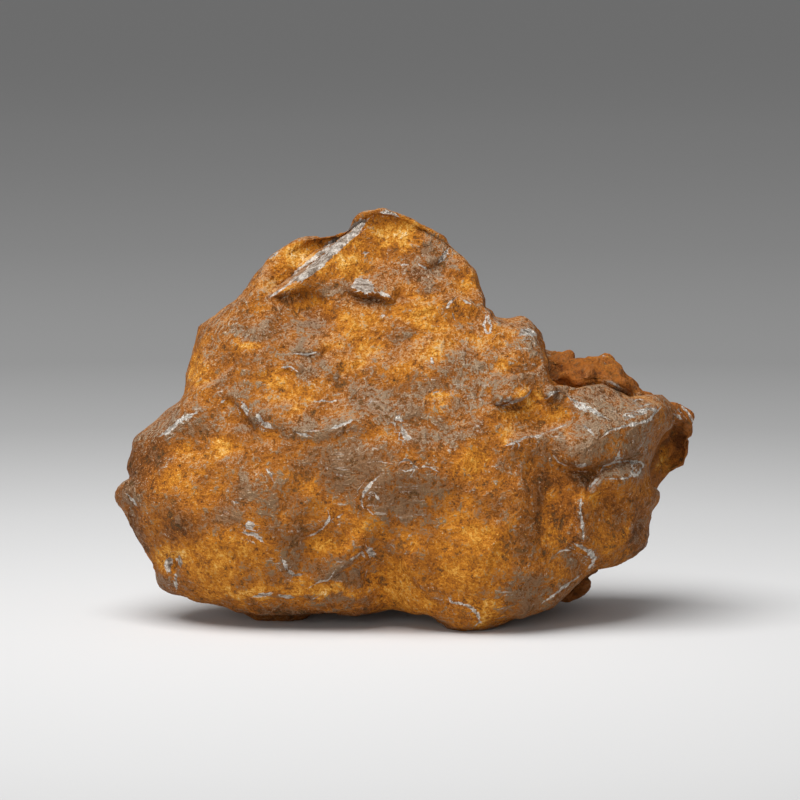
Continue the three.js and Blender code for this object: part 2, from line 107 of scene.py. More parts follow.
def closedCurve(points, steps=12):
    # Catmull-Rom curve through the points and back to the first
    p = np.array(points, float)
    t = np.linspace(0, 1, steps, endpoint=False)[:, None, None]
    a, b, c, d = np.roll(p, 1, 0), p, np.roll(p, -1, 0), np.roll(p, -2, 0)
    q = 0.5 * (2 * b + (c - a) * t + (2 * a - 5 * b + 4 * c - d) * t**2
               + (3 * b - a - 3 * c + d) * t**3)
    return q.transpose(1, 0, 2).reshape(-1, p.shape[1])


def nearestOnLine(u, v, line):
    # distance to a line of points, the signed distance to its nearest segment (above zero on
    # the left of its run) and the share of its length at the nearest place
    line = np.array(line, float)
    lengths = np.hypot(*(line[1:] - line[:-1]).T)
    starts = np.concatenate([[0], np.cumsum(lengths)])
    distance = np.full(u.shape, 1e9)
    side = np.zeros(u.shape)
    share = np.zeros(u.shape)
    for k, length in enumerate(lengths):
        du, dv = (line[k + 1] - line[k]) / length
        eu, ev = u - line[k][0], v - line[k][1]
        along = np.clip(eu * du + ev * dv, 0, length)
        away = np.hypot(eu - along * du, ev - along * dv)
        nearer = away < distance
        distance = np.where(nearer, away, distance)
        side = np.where(nearer, du * ev - dv * eu, side)
        share = np.where(nearer, (starts[k] + along) / starts[-1], share)
    return distance, side, share


def toRoom(u, v, y):
    # a point further back is seen drawn towards the middle and from above
    tilt = math.radians(eye["tiltDeg"])
    k = 1 + y * math.cos(tilt) / eye["distance"]
    z = (eye["level"] + (v - eye["level"]) * k - y * math.sin(tilt)) / math.cos(tilt)
    return np.stack([u * k, y, z], -1)


def toLayout(points):
    # toRoom the other way round
    tilt = math.radians(eye["tiltDeg"])
    x, y, z = points.T
    k = 1 + y * math.cos(tilt) / eye["distance"]
    return x / k, eye["level"] + (z * math.cos(tilt) + y * math.sin(tilt) - eye["level"]) / k, y


# The rim is the line where a mass turns from front to back: (across, up, y).
faceMass = {
    "cells": 114, "crowding": (0, -0.35, 0),
    "heart": (0, 34.8), "front": -33, "back": 16, "frontSquareness": 2.5, "backSquareness": 3.2,
    "rim": [
        (-64.4, 29.3, -4), (-63.5, 30.9, -5), (-61.1, 32.5, -5), (-61.4, 35, -4), (-60.5, 38.6, -3),
        (-60.1, 41.3, -2), (-57.8, 43.8, 0), (-54.7, 46.2, 2), (-51.1, 48.7, 4), (-48.4, 51.6, 7),
        (-48.1, 56.8, 11), (-46.8, 61.1, 13), (-45.1, 65.3, 14), (-43.6, 67.8, 14), (-40, 70.5, 14),
        (-35.6, 74.8, 14), (-33.1, 78.3, 14), (-30.5, 81.3, 13), (-26.6, 84.3, 12), (-22.5, 86.7, 11),
        (-18, 87.4, 10), (-13.3, 88, 8), (-11, 89.7, 6), (-9.7, 91.4, 4), (-7, 92.9, 3),
        (-3.8, 93.2, 3), (0, 92.1, 3), (3.2, 90.7, 3), (7.4, 88.5, 3), (11, 85.8, 4), (14, 82.9, 4),
        (15.1, 81.1, 4), (16.8, 79.5, 4), (17.5, 76.4, 4), (18.8, 73.5, 3), (18.7, 71.2, 2),
        (20.5, 70.3, 1), (21.2, 69, 1), (24.3, 68.7, 1), (27.7, 68.8, 1), (29.9, 67.1, 1),
        (31.7, 64.7, 1), (32.6, 61.8, 0), (33.1, 58.8, -2), (32.2, 57.2, -4), (33.1, 55, -6),
        (35.1, 53, -8), (37.8, 52.5, -8), (42.1, 53.4, -6), (45.9, 54.5, -4), (49.3, 53.4, -3),
        (52.2, 51.2, -2), (55.3, 51, -2), (56.9, 51.8, -1), (59, 51.8, 0), (60.5, 50.7, 1),
        (62.1, 48.9, 2), (62.6, 46.9, 2), (61.7, 44.4, 1), (60.1, 43.1, 0), (58.7, 40.8, -1),
        (57.4, 37.7, -2), (56.5, 34.1, -3), (56.9, 31.1, -2), (58.4, 28.7, -1), (57.2, 25.1, -1),
        (56.4, 21.7, -2), (56.2, 18.5, -3), (54.5, 16.4, -6), (48.8, 13.1, -11), (44.3, 12.2, -15),
        (41.6, 10.4, -16), (38.9, 7.8, -17), (35.8, 4.8, -18), (32.2, 2.3, -20), (25.9, -0.3, -22),
        (20.2, -1.6, -24), (15.9, -2.7, -26), (12.4, -2.2, -25), (9.2, -1.1, -23), (6.8, 0.3, -20),
        (2.5, 1.9, -15), (-1.6, 2.3, -12), (-7.4, 1.7, -12), (-12.4, 0.8, -12), (-18.9, -0.1, -11),
        (-24.8, -0.6, -11), (-28.4, -0.3, -11), (-32.2, 0.5, -11), (-35.8, 1.7, -11), (-40.3, 3, -10),
        (-43.6, 3.9, -9), (-47.7, 5, -8), (-50.6, 6.4, -8), (-53.3, 7.6, -7), (-54.9, 9.3, -7),
        (-55.6, 12.9, -7), (-57.4, 15.4, -6), (-59.6, 18.4, -5), (-61.5, 22.6, -5), (-62.7, 26.2, -5),
        (-63.9, 27.5, -4),
    ],
}

rearMass = {
    "cells": 86, "crowding": (0.4, 0, 0.1),
    "heart": (6.8, 39.2), "front": -4, "back": 38, "frontSquareness": 3, "backSquareness": 2.6,
    "rim": [
        (-52.9, 28, 8), (-52.5, 39.2, 10), (-47, 48.4, 13), (-46.3, 57, 16), (-43.4, 66, 17),
        (-31.8, 77.4, 17), (-18.5, 85.4, 12), (-4.5, 90.5, 8), (4.5, 87.6, 8), (11.5, 80.5, 9),
        (16.5, 70.8, 12), (25.9, 65.1, 13), (33.1, 61.8, 14), (35.5, 62.2, 15), (38.5, 61.3, 16),
        (41, 59.3, 17), (43.4, 60.4, 17), (45.5, 60.8, 17), (47.2, 60.5, 17), (48.6, 58.8, 17),
        (51.1, 56.8, 17), (54.2, 54.5, 17), (55.6, 52.5, 17), (57.4, 52.1, 17), (61, 51, 18),
        (63.7, 50.3, 18), (65.7, 48.2, 18), (67.1, 45.3, 18), (65.7, 41.7, 18), (66.2, 38.8, 18),
        (65.2, 36.3, 18), (63, 34.8, 17), (60.1, 32.3, 16), (56.2, 28.5, 15), (53.6, 23.5, 14),
        (50.6, 17.9, 12), (44.3, 11.3, 8), (43.5, 8.7, 6), (41.6, 6.2, 5), (37.4, 3.7, 4),
        (33.3, 1.7, 4), (26, -1.5, 8), (15.8, -3, 14), (4.5, -2, 14), (-9, 0, 12), (-22.5, 0, 10),
        (-33.8, 2.3, 10), (-43.9, 5.9, 9), (-49.5, 11.1, 8), (-52.2, 19, 8),
    ],
}

# How a rim's bumps run on over its mass: the facing over which they fade in front, behind and, as
# notches, behind; and how far round, from which facing and in how many waves they wander behind.
rimRun = {"front": 0.38, "back": 0.3, "notch": 0.6, "wander": 2, "wanderFrom": 0.2, "waves": 5}


def rimTables(mass):
    # distance from the heart and depth of the rim at evenly spaced turns, and the same averaged
    # twice over an arc of 16 degrees each way
    count, half = 1440, 64
    rim = closedCurve(mass["rim"])
    du, dv = rim[:, 0] - mass["heart"][0], rim[:, 1] - mass["heart"][1]
    turns = np.arange(count) * 2 * math.pi / count - math.pi
    kernel = np.ones(2 * half + 1) / (2 * half + 1)
    tables = []
    for row in (np.hypot(du, dv), rim[:, 2]):
        table = np.interp(turns, np.arctan2(dv, du), row, period=2 * math.pi)
        calm = table
        for _ in range(2):
            calm = np.convolve(np.concatenate([calm[-half:], calm, calm[:half]]), kernel, "valid")
        tables += [table, calm]
    return turns, tables


def massSurface(directions, mass):
    # two squared-off domes over the rim. With f the share of the direction that faces the eye
    # or leaves it and p the squareness, the reach goes as (1 - f^2)^(1/p) and y runs from the
    # rim to the pole as f^(2/p); bumps of the rim fade into the calm rim as exp(-(f/fade)^2) and
    # wander behind it by wander (f - from)^2 sin(waves turn + 1)
    turns, tables = rimTables(mass)
    facing = -directions[:, 1]
    front = facing > 0
    turn = np.arctan2(directions[:, 2], directions[:, 0])
    behind = np.clip(-facing - rimRun["wanderFrom"], 0, 1)
    wandered = turn + rimRun["wander"] * behind**2 * np.sin(rimRun["waves"] * turn + 1)
    reach, depth = [np.interp(wandered, turns, table, period=2 * math.pi) for table in tables[::2]]
    calmReach, calmDepth = [np.interp(turn, turns, table, period=2 * math.pi) for table in tables[1::2]]
    power = 2 / np.where(front, mass["frontSquareness"], mass["backSquareness"])
    fadeBehind = np.where(reach < calmReach, rimRun["notch"], rimRun["back"])
    bumpy = np.exp(-((facing / np.where(front, rimRun["front"], fadeBehind)) ** 2))
    out = np.hypot(directions[:, 0], directions[:, 2]) ** power
    reach = (calmReach + (reach - calmReach) * bumpy) * out
    depth = calmDepth + (depth - calmDepth) * bumpy
    pole = np.where(front, mass["front"], mass["back"])
    y = depth + (pole - depth) * np.abs(facing) ** power
    u = mass["heart"][0] + reach * np.cos(turn)
    v = mass["heart"][1] + reach * np.sin(turn)
    return u, v, y, facing, depth


# Planes that lean the face back: where, the depth y there, how y grows across and upwards, and
# how round the corner is.
faceSlopes = [
    (-9, 42.4, -29, 0, 0.7, 2.5),  # brow up to the peak
    (22.5, 49.4, -25, 0.42, 0.45, 2.5),  # upper right
    (-38.2, 46, -20.5, -0.42, 0.42, 3),  # left shoulder
]

# Rounded lobes, and hollows where the lift is below zero: across, up, half width, half height,
# lift, then the power of the fall and the turn in degrees where they are not 2 and 0.
faceLobes = [
    (24.8, 14.5, 20, 24, 4.5),  # right lobe
    (-37.1, 22.4, 26, 20, 2.5),  # left lobe
    (-18.5, 28, 15, 16, -1.8),
    (4, 24.6, 14, 11, -1.5),  # round plate in the middle
    (34.2, 26.9, 8, 15, -3.2),  # flank of the right lobe
    (-2.7, 7.8, 7, 14, -4.5, 2, 10),  # valley
    (29.7, 46.5, 8.5, 5, -1.8, 1.4, 6),  # recess
    (-20.2, 71.2, 10, 5, -2.2, 2, -50),  # under the lip
    (-27.7, 52.8, 5.5, 5.5, -1.2, 1.3),
    (-19.3, 15.4, 8.5, 6.5, -1.8, 1.2),
    (26.8, 62, 7, 8, 1.2),
    (2.5, 44.6, 3.6, 3.2, -0.7, 1.2),
    (-51.2, 13.2, 1.6, 2.6, -2.4, 1.2),  # deep pit
    (9, 57.2, 16, 10, 1.2),
    (-6.8, 61.8, 10, 8, -1.2),
    (2.2, 86.5, 9, 6, 1),
    (-39.4, 61.8, 8, 11, -1.6),
    (-51.8, 28, 10, 12, 1.4),
]

# A ledge steps across its line: its lift there and the width over which that fades, on the left of
# the line's run and then on its right; the line; the half width of the step and the share of the
# line over which each end tapers, where they are not the usual ones.
faceLedges = [
    (-7.5, 22, 2.4, 9, [(-29.9, 73.7), (-26.8, 75.9), (-23.6, 77.9), (-20.2, 80.4), (-16.6, 83.1),
     (-11.9, 88.3), (-6.5, 92.6)], 0.8, 0.14),  # lip
    (0, 1, -1.8, 9, [(-29.9, 73.5), (-25.9, 74.8), (-22.5, 75.5), (-18.5, 74.3), (-15.8, 72.3)]),
    (2.8, 5.5, -1.2, 5, [(-12.1, 76.2), (-10.6, 74.9), (-7.9, 74.1), (-5.4, 74.3), (-3.2, 73.2),
     (-1.1, 72.2)]),  # knob below the peak
    (1, 9, -0.7, 5, [(4, 80.4), (6.5, 80.7), (8.5, 81.8), (10.4, 83.3), (11.2, 85.4)],
     0.6, 0.3),  # plate at the peak
    (1.5, 8, -0.4, 7, [(-36.9, 50), (-35.1, 47.8), (-32.9, 46), (-30.1, 44.4), (-26.1, 42.8), (-22, 42),
     (-17.1, 42.2), (-12.6, 44), (-7.6, 43.5), (-1.8, 42.4)], 2.4),  # brow
    (0.6, 5, -1.4, 6, [(-40, 51.4), (-37.6, 50), (-35.8, 48), (-34.4, 45.8), (-31.9, 43.8)]),
    (0, 1, 1, 8.5, [(-8.5, 22.6), (-8.8, 26.2), (-7.6, 29.1), (-6.1, 31.4), (-4, 33.2), (-1.3, 34.8),
     (1.6, 35.6), (4.5, 35), (8.1, 34.8), (11.7, 33.2), (15.3, 30.5)], 0.5),  # edge of the round plate
    (1.8, 8, -1.6, 7, [(20.7, 49.4), (23, 50), (25, 50.3), (28.4, 50.7), (29.7, 52.1), (30.2, 53.2)]),
    (1.6, 4, -0.8, 4, [(32.9, 50.5), (33.8, 51), (34.9, 51.6), (36, 53)]),
    (0.9, 2, 1.5, 8, [(23.2, 39.7), (25.2, 40.6), (27, 41.3), (29.9, 42.2), (32.9, 42.6), (35.1, 43.5),
     (37.8, 44.4)]),
    (0, 1, 1.3, 10, [(-2, 73.2), (2.2, 72.5), (6.5, 71.6), (9.2, 73), (12.6, 74.1), (15.8, 73),
     (18.7, 70.8)], 0.6),
    (0.5, 8, -0.7, 5, [(33.1, 59), (31.3, 57), (29.2, 56.1), (25.9, 55.5), (22.5, 54.1)]),
    (0.8, 3, -0.4, 6, [(19.6, 71.2), (19.8, 68.5), (20.5, 65.3), (20.9, 61.3)]),
    (0, 1, 0.8, 5, [(9.5, 71), (11, 72.8), (12.6, 73.9)], 0.6, 0.3),
    (0.9, 4, -0.4, 4, [(-24.5, 61.1), (-20.7, 60.8), (-16.2, 62)]),
    (0.9, 4, -0.4, 4, [(-27.2, 57.9), (-24.8, 57.5), (-22.3, 56.3)]),
    (0.6, 4, -0.3, 4, [(-16.6, 54.5), (-14.2, 55.5), (-13.3, 58.8)]),
    (0, 1, 0.9, 6, [(-15.5, 26.2), (-15.8, 23.3), (-18, 21.2), (-21.1, 19.5), (-23.8, 18.5)]),
    (1.2, 8, -0.9, 6, [(-21.1, 7.3), (-17.5, 9.3), (-14.6, 11.3), (-11.5, 12.9), (-8.5, 15),
     (-5.8, 17)]),
    (0.8, 6, -0.5, 4, [(-34.2, 5.3), (-30.1, 6.2), (-26.1, 5.9), (-22, 5), (-18.5, 5.3)]),
    (1.4, 9, -0.8, 6, [(0, 13.8), (2, 10.9), (3.8, 7.8), (6.8, 5), (10.4, 3.5)], 0.6),
    (0.9, 6, -0.3, 4, [(5, 21.7), (4, 17.6), (2.9, 14), (2, 10.4)], 0.8, 0.3),
    (0, 1, 0.8, 5, [(11.2, 5), (13.5, 4.4), (16.7, 3), (18.2, 1.4), (18, -1)]),
    (1.5, 3.5, 1.5, 3, [(41, 28.9), (41, 26.2), (41.2, 23.3), (41.6, 20.8), (42.3, 17.9),
     (43.9, 12.7)], 0.5),  # upright ridge
    (-1.4, 4, 0.9, 6, [(52.7, 29.8), (53.6, 26.2), (53.3, 23.5), (52.9, 20.8), (54, 19.9), (52.7, 17.6),
     (50, 16.3), (46.3, 15.4)]),  # bevel of the lower right face
    (1.2, 5, 1.2, 6, [(-56.7, 41), (-54, 42.6), (-51.3, 44.4), (-47.7, 46.5), (-43.6, 48.5)],
     1),  # left shoulder
    (-1.4, 6, 0.6, 7, [(-48.6, 52.1), (-45.7, 53), (-42.5, 54.3), (-39.1, 57), (-35.3, 59.5)]),
    (0.6, 3, -0.3, 3, [(-63, 29.8), (-61.6, 28.7), (-60.5, 26.6), (-59.8, 24.4)]),
    (-0.5, 1.5, -0.5, 1.5, [(17.1, 28.5), (19.6, 26), (22, 23.7), (23, 21.7)]),
]

# The chipped block at the right: flat facets between corners (across, up, lift).
blockBoldness = 1.6
blockNets = [
    {"corners": {
        "a": (38.5, 51.2, 0.3), "b": (42.1, 53.4, 0), "c": (45.9, 54.3, 0), "d": (49.5, 53.2, 0),
        "e": (52.2, 51.2, 0), "f": (55.6, 50.7, 0.6), "g": (57.4, 48.7, 3.2), "h": (52.3, 47.6, 3.2),
        "i": (49.6, 46, 3.8), "j": (44.1, 48.7, 2.3), "k": (50.6, 44.8, 4.6), "l": (53.3, 44.6, 4.4),
        "m": (56.2, 46.1, 4.4), "n": (58.2, 47.8, 3.4), "o": (47.5, 43.1, 4.8), "p": (38.7, 45.5, 1),
        "q": (35.3, 43.5, 0), "r": (38.2, 44.6, 1), "s": (45, 42.2, 4.4), "t": (50.4, 42.7, 4.6),
        "u": (34, 41.3, 0), "v": (34.5, 38.6, 0.4), "w": (36, 36.3, 1.2), "x": (40.1, 35.3, 2.6),
        "y": (44.1, 35.4, 3), "z": (47.5, 36.1, 2.8), "A": (50, 37.1, 3), "B": (50.6, 39, 3.6),
        "C": (41.6, 39.2, 4), "D": (58.3, 41.3, 0), "E": (59.4, 49.4, 1.6), "F": (61.2, 47.8, 0),
        "G": (60.3, 43.8, 0), "H": (56.5, 36.8, 0), "I": (54, 39.5, 2.4), "J": (51.8, 37.2, 1),
     },
     "facets": "acb ajc jdc jid ihd hed hfe hgf ikh klh hlm hmg gmn iok otk ktl apj psj jso joi prs "
               "rqC quC uvC vwC wxC xyC yzC zAC ABC BtC tsC srC ost tBI tIl lIm mID BAI AJI IJH IHD "
               "mDG mGn nGF nFE gnE gEf"},
    {"corners": {
        "a": (45.9, 34.1, 1.2), "b": (49.4, 36.3, 0.8), "c": (52.3, 36.5, 0.8), "d": (55.6, 35.9, 1.2),
        "e": (55.6, 35, 1.8), "f": (54.2, 33.2, 2.6), "g": (48.8, 32.5, 3), "h": (46.1, 33, 2.6),
        "i": (43, 30.2, 1.2), "j": (44.3, 32.3, 0.9), "k": (53.3, 28.9, 0.6), "l": (49.5, 28.7, 0),
        "m": (45.5, 28.7, 0), "n": (42.8, 28.7, 0), "o": (56.2, 33, 0),
     },
     "facets": "abh bgh bcg cfg cdf def hja hij hgm glm gkl gfk fok feo hmi imn"},
]

# Lumps and hollows of the crust lobe at the back right.
rearLobes = [
    (38, 56.5, 8, 5.5, 9, 1.2, -15),
    (35.4, 57.4, 3, 2, -2.5, 1.2, 20),
    (46, 56, 8, 6.5, 10, 1.2),
    (52, 53, 9, 5, 9, 1.2, -37),
    (41, 58.6, 1.2, 4, -2, 1.2, -20),
    (63.9, 47.3, 4.5, 5, 3, 1.2),
    (61.7, 38.8, 5, 7.5, -7, 1.3),
    (64.3, 42.4, 3, 4, -3, 1.3),
    (39.6, 6.4, 7, 3, 3, 2, 40),
]


def slopeDepth(u, v, y, atU, atV, depth, leanU, leanV, soft):
    # how far y lies in front of the slope's plane, with a rounded corner
    return softOver(depth + leanU * (u - atU) + leanV * (v - atV) - y, soft)


def lobeLift(u, v, atU, atV, sizeU, sizeV, lift, power=2, turn=0):
    # lift (1 - r^2)^power inside the turned ellipse, with r = 1 on its border
    c, s = math.cos(math.radians(turn)), math.sin(math.radians(turn))
    du, dv = u - atU, v - atV
    a, b = (du * c + dv * s) / sizeU, (dv * c - du * s) / sizeV
    return lift * np.clip(1 - a * a - b * b, 0, 1) ** power


def ledgeLift(u, v, leftLift, leftWidth, rightLift, rightWidth, line, edge=0.6, taper=0.17):
    # each side's lift fades as (1 - distance/width)^1.3; the step between them is smooth over
    # the edge and both ends of the line taper off
    distance, side, share = nearestOnLine(u, v, line)
    left = leftLift * np.clip(1 - distance / leftWidth, 0, 1) ** 1.3
    right = rightLift * np.clip(1 - distance / rightWidth, 0, 1) ** 1.3
    step = smooth(-edge, edge, np.sign(side) * distance)
    return (right + (left - right) * step) * smooth(0, taper, share) * smooth(0, taper, 1 - share)


def facetLift(u, v, net):
    # inside each facet the lift is the flat blend of its three corners' lifts
    lift = np.zeros_like(u)
    for facet in net["facets"].split():
        (ua, va, la), (ub, vb, lb), (uc, vc, lc) = [net["corners"][name] for name in facet]
        area = (ub - ua) * (vc - va) - (uc - ua) * (vb - va)
        b = ((u - ua) * (vc - va) - (uc - ua) * (v - va)) / area
        c = ((ub - ua) * (v - va) - (u - ua) * (vb - va)) / area
        inside = (b >= 0) & (c >= 0) & (b + c <= 1)
        lift = np.where(inside, la + (lb - la) * b + (lc - la) * c, lift)
    return lift * blockBoldness


def keptFront(y, front, facing, depth):
    # nothing on the side that faces the eye cuts back past the rim
    return np.where(facing > 0, depth - softOver(depth - y, 1.5 * front + 0.01), y)


def carveFace(u, v, y, facing, depth):
    # all of it on the side that faces the eye; slopes and the block start nearer to the rim
    front, nearRim = smooth(0, 0.25, facing), smooth(0, 0.1, facing)
    for slope in faceSlopes:
        y = y + slopeDepth(u, v, y, *slope) * nearRim
    for lobe in faceLobes:
        y = y - lobeLift(u, v, *lobe) * front
    for net in blockNets:
        for du, dv in ((0, 0), (0.4, 0), (-0.4, 0), (0, 0.4), (0, -0.4)):  # averaged over 0.8 mm
            y = y - facetLift(u + du, v + dv, net) / 5 * nearRim
    for ledge in faceLedges:
        y = y - ledgeLift(u, v, *ledge) * front
    return keptFront(y, front, facing, depth)


def carveRear(u, v, y, facing, depth):
    # the same for the rear mass, which has lobes alone
    front = smooth(0, 0.25, facing)
    for lobe in rearLobes:
        y = y - lobeLift(u, v, *lobe) * front
    return keptFront(y, front, facing, depth)


# Planes that cut the rear mass flat: which way each faces and how far it is from the middle.
trims = {
    "middle": (0, 2, 45), "soft": 2.5,
    "planes": [((0.1, 1, 0.12), 32), ((-0.75, 0.62, 0.25), 43), ((-0.25, 0.62, 0.75), 44),
               ((0.35, 0.65, 0.62), 40), ((0.45, 0.9, -0.05), 46), ((0.1, 0.72, -0.7), 51),
               ((-0.62, 0.45, -0.62), 52)],
}

# Thumb-like hollows over both backs: how many, their spread in degrees and their depth.
scoops = {"count": 52, "spread": 18, "spreadSwing": 6, "depth": 3.6, "depthSwing": 1.6}

# The arch of the underside, and its feet: place, reach and gap above the ground. A foot below zero
# is worn flat, and the last one hangs clear.
feet = {
    "archGap": 3.2, "archRise": 3, "hollowSize": 13,
    "places": [((16, -19), 11, -0.8), ((-28, -3), 14, -0.8), ((22, 24), 12, -0.8), ((34, 6), 11, 0.6)],
}


def trim(points):
    # what stands past a plane is pressed back onto it, with a rounded corner
    for facing, reach in trims["planes"]:
        normal = np.array(facing) / np.linalg.norm(facing)
        over = (points - trims["middle"]) @ normal - reach
        points = points - normal * softOver(over, trims["soft"])[:, None]
    return points


def scoopOut(points):
    # thumb-like hollows along a golden-angle spiral over the back: depth (1 - (angle/spread)^2),
    # the deepest one wins
    outward = points - trims["middle"]
    outward /= np.linalg.norm(outward, axis=1)[:, None]
    deepest = np.zeros(len(points))
    for i in range(scoops["count"]):
        z = 1 - (2 * i + 1) / scoops["count"]
        turn, ring = i * math.pi * (3 - math.sqrt(5)), math.sqrt(1 - z * z)
        spread = scoops["spread"] + scoops["spreadSwing"] * math.sin(1.7 * i)
        depth = scoops["depth"] + scoops["depthSwing"] * math.sin(2.9 * i)
        toward = np.array([ring * math.cos(turn), ring * math.sin(turn), z])
        if toward[1] > 0.3:
            angle = np.degrees(np.arccos(np.clip(outward @ toward, -1, 1))) / spread
            deepest = np.maximum(deepest, depth * (1 - angle * angle))
    return points - outward * deepest[:, None]


def liftUnderside(points):
    # the underside stays a gap above the ground, less near a foot
    x, y, z = points.T
    flat = np.stack([x, y, np.full_like(x, 6.5)], -1)
    hollow = 0.5 + lumpNoise(flat, feet["hollowSize"]) * 0.6
    arch = feet["archGap"] + feet["archRise"] * hollow * smooth(-14, 4, y)
    gap = arch
    for (footX, footY), reach, footGap in feet["places"]:
        near = smooth(0, 0.7, 1 - np.hypot(x - footX, y - footY) / reach)
        gap = np.minimum(gap, arch + (footGap - arch) * near)
    return np.stack([x, y, z + softOver(eye["ground"] + gap - z, 0.8)], -1)


def massSkin(name, mass, carve, trimmed):
    # a mass from its sphere of directions to its finished skin
    directions, quads = sphereGrid(mass["cells"], mass["crowding"])
    u, v, y, facing, depth = massSurface(directions, mass)
    points = toRoom(u, v, carve(u, v, y, facing, depth))
    if trimmed:
        points = trim(points)
    return addMesh(name, liftUnderside(scoopOut(points)), quads)


def addObject(name, data):
    # at the origin, unturned
    made = bpy.data.objects.new(name, data)
    bpy.context.scene.collection.objects.link(made)
    return made


def addMesh(name, points, quads):
    mesh = bpy.data.meshes.new(name)
    mesh.from_pydata(points.tolist(), [], quads.tolist())
    mesh.update()
    return addObject(name, mesh)


def joined(name, first, second):
    # the union of two closed skins, as a new object with a plain mesh
    union = first.modifiers.new("union", "BOOLEAN")
    union.operation = "UNION"
    union.solver = "MANIFOLD"
    union.object = second
    evaluated = first.evaluated_get(bpy.context.evaluated_depsgraph_get())
    mesh = bpy.data.meshes.new_from_object(evaluated)
    mesh.name = name
    for old in (first, second):
        bpy.data.objects.remove(old)
    return addObject(name, mesh)


def vertexArray(mesh, name):
    # a row of three for each vertex
    values = np.empty(len(mesh.vertices) * 3)
    mesh.vertices.foreach_get(name, values)
    return values.reshape(-1, 3)


# Relief too fine for the masses, in millimetres: how high each size of lump stands.
relief = {
    "lumps": {"size": 9, "height": 0.4, "seed": 11},
    "dents": {"size": 3.2, "height": 0.16, "seed": 11},
    "dishes": {"size": 15, "height": 0.7, "seed": 25},
    "crust": {"size": 6.5, "height": 1.3, "seed": 31},
    "flakes": {"sizes": (11, 8, 6), "height": 0.55, "fade": 0.22, "patches": 14},
}

# The block's top edge against the crust behind it: across, up.
blockTop = np.array([(35, 53.2), (42, 53.8), (46, 54.8), (49, 53.8), (52, 51.9), (56, 51.6), (62, 51)])


def crustShare(points):
    # how much of the rough crust shows: all of it on the lobe at the right, behind the block and
    # over its top edge, with an uneven border at the back; less over the back and the underside
    u, v, y = toLayout(points)
    behind = smooth(0.5, 4, y + 8 - 0.38 * (u - 38))
    over = smooth(0.2, 1, v - np.interp(u, *blockTop.T))
    wobble = 8 * lumpNoise(points, 16, 2, seed=91) * smooth(14, 26, y)
    lobe = smooth(32, 36, u + wobble) * np.maximum(behind, over)
    back = 0.45 * smooth(12, 22, y)
    under = 0.4 * smooth(9, 4, points[:, 2]) * smooth(-12, -2, y)
    return np.maximum(np.maximum(lobe, back), under)


def blockShare(points):
    # the chipped block keeps its flat facets
    u, v, y = toLayout(points)
    return smooth(34, 38, u) * smooth(32, 35, v) * smooth(6, 2, y)


def roughen(points, normals):
    # noise of each size along the normal. Dishes meet in sharp crests, 1 - 2|n|. A flake steps up
    # where its noise n passes zero and fades as exp(-|n|/fade) on both sides, in places only. The
    # crust's lumps are round and the seams between them sharp, 2|n| - 1
    crust = crustShare(points)
    lumps, dents, dishes, seams = [lumpNoise(points, relief[key]["size"], 2, relief[key]["seed"])
                                   for key in ("lumps", "dents", "dishes", "crust")]
    lift = relief["lumps"]["height"] * lumps + relief["dents"]["height"] * dents
    lift += relief["dishes"]["height"] * (1 - 2 * np.abs(dishes)) * (1 - crust)
    row = relief["flakes"]
    for k, size in enumerate(row["sizes"]):
        n = lumpNoise(points, size, 2, seed=71 + 3 * k)
        here = smooth(0.05, 0.45, lumpNoise(points, row["patches"], seed=81 + k)) * (1 - crust)
        lift += row["height"] * here * (smooth(-0.06, 0.06, n) - 0.5) * np.exp(-np.abs(n) / row["fade"])
    lift *= 1 - 0.75 * blockShare(points)
    lift -= relief["crust"]["height"] * crust * np.clip(1 - 2 * np.abs(seams), -0.6, 1)
    return points + normals * lift[:, None]


faceSkin = massSkin("faceSkin", faceMass, carveFace, trimmed=False)
rearSkin = massSkin("rearSkin", rearMass, carveRear, trimmed=True)
stone = joined("meteoriteSkin", faceSkin, rearSkin)
skin = stone.data
print("masses joined:", len(skin.vertices), "vertices")

layout = roughen(vertexArray(skin, "co"), vertexArray(skin, "normal"))
layout[:, 2] = np.maximum(layout[:, 2], eye["ground"])  # the feet are worn flat

# The layout moves to where the solid stands and takes its exact size.
boxLow, boxHigh = [np.array(corner) * 1000 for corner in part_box("meteorite")]
stretch = (boxHigh - boxLow) / (layout.max(0) - layout.min(0))
shift = boxLow - layout.min(0) * stretch
print("stretch", stretch.round(4), "shift", shift.round(2))
skin.vertices.foreach_set("co", ((layout * stretch + shift) / 1000).ravel())
skin.polygons.foreach_set("use_smooth", np.ones(len(skin.polygons), bool))
skin.update()
skin.calc_loop_triangles()
print("relief done:", len(skin.loop_triangles), "triangles")


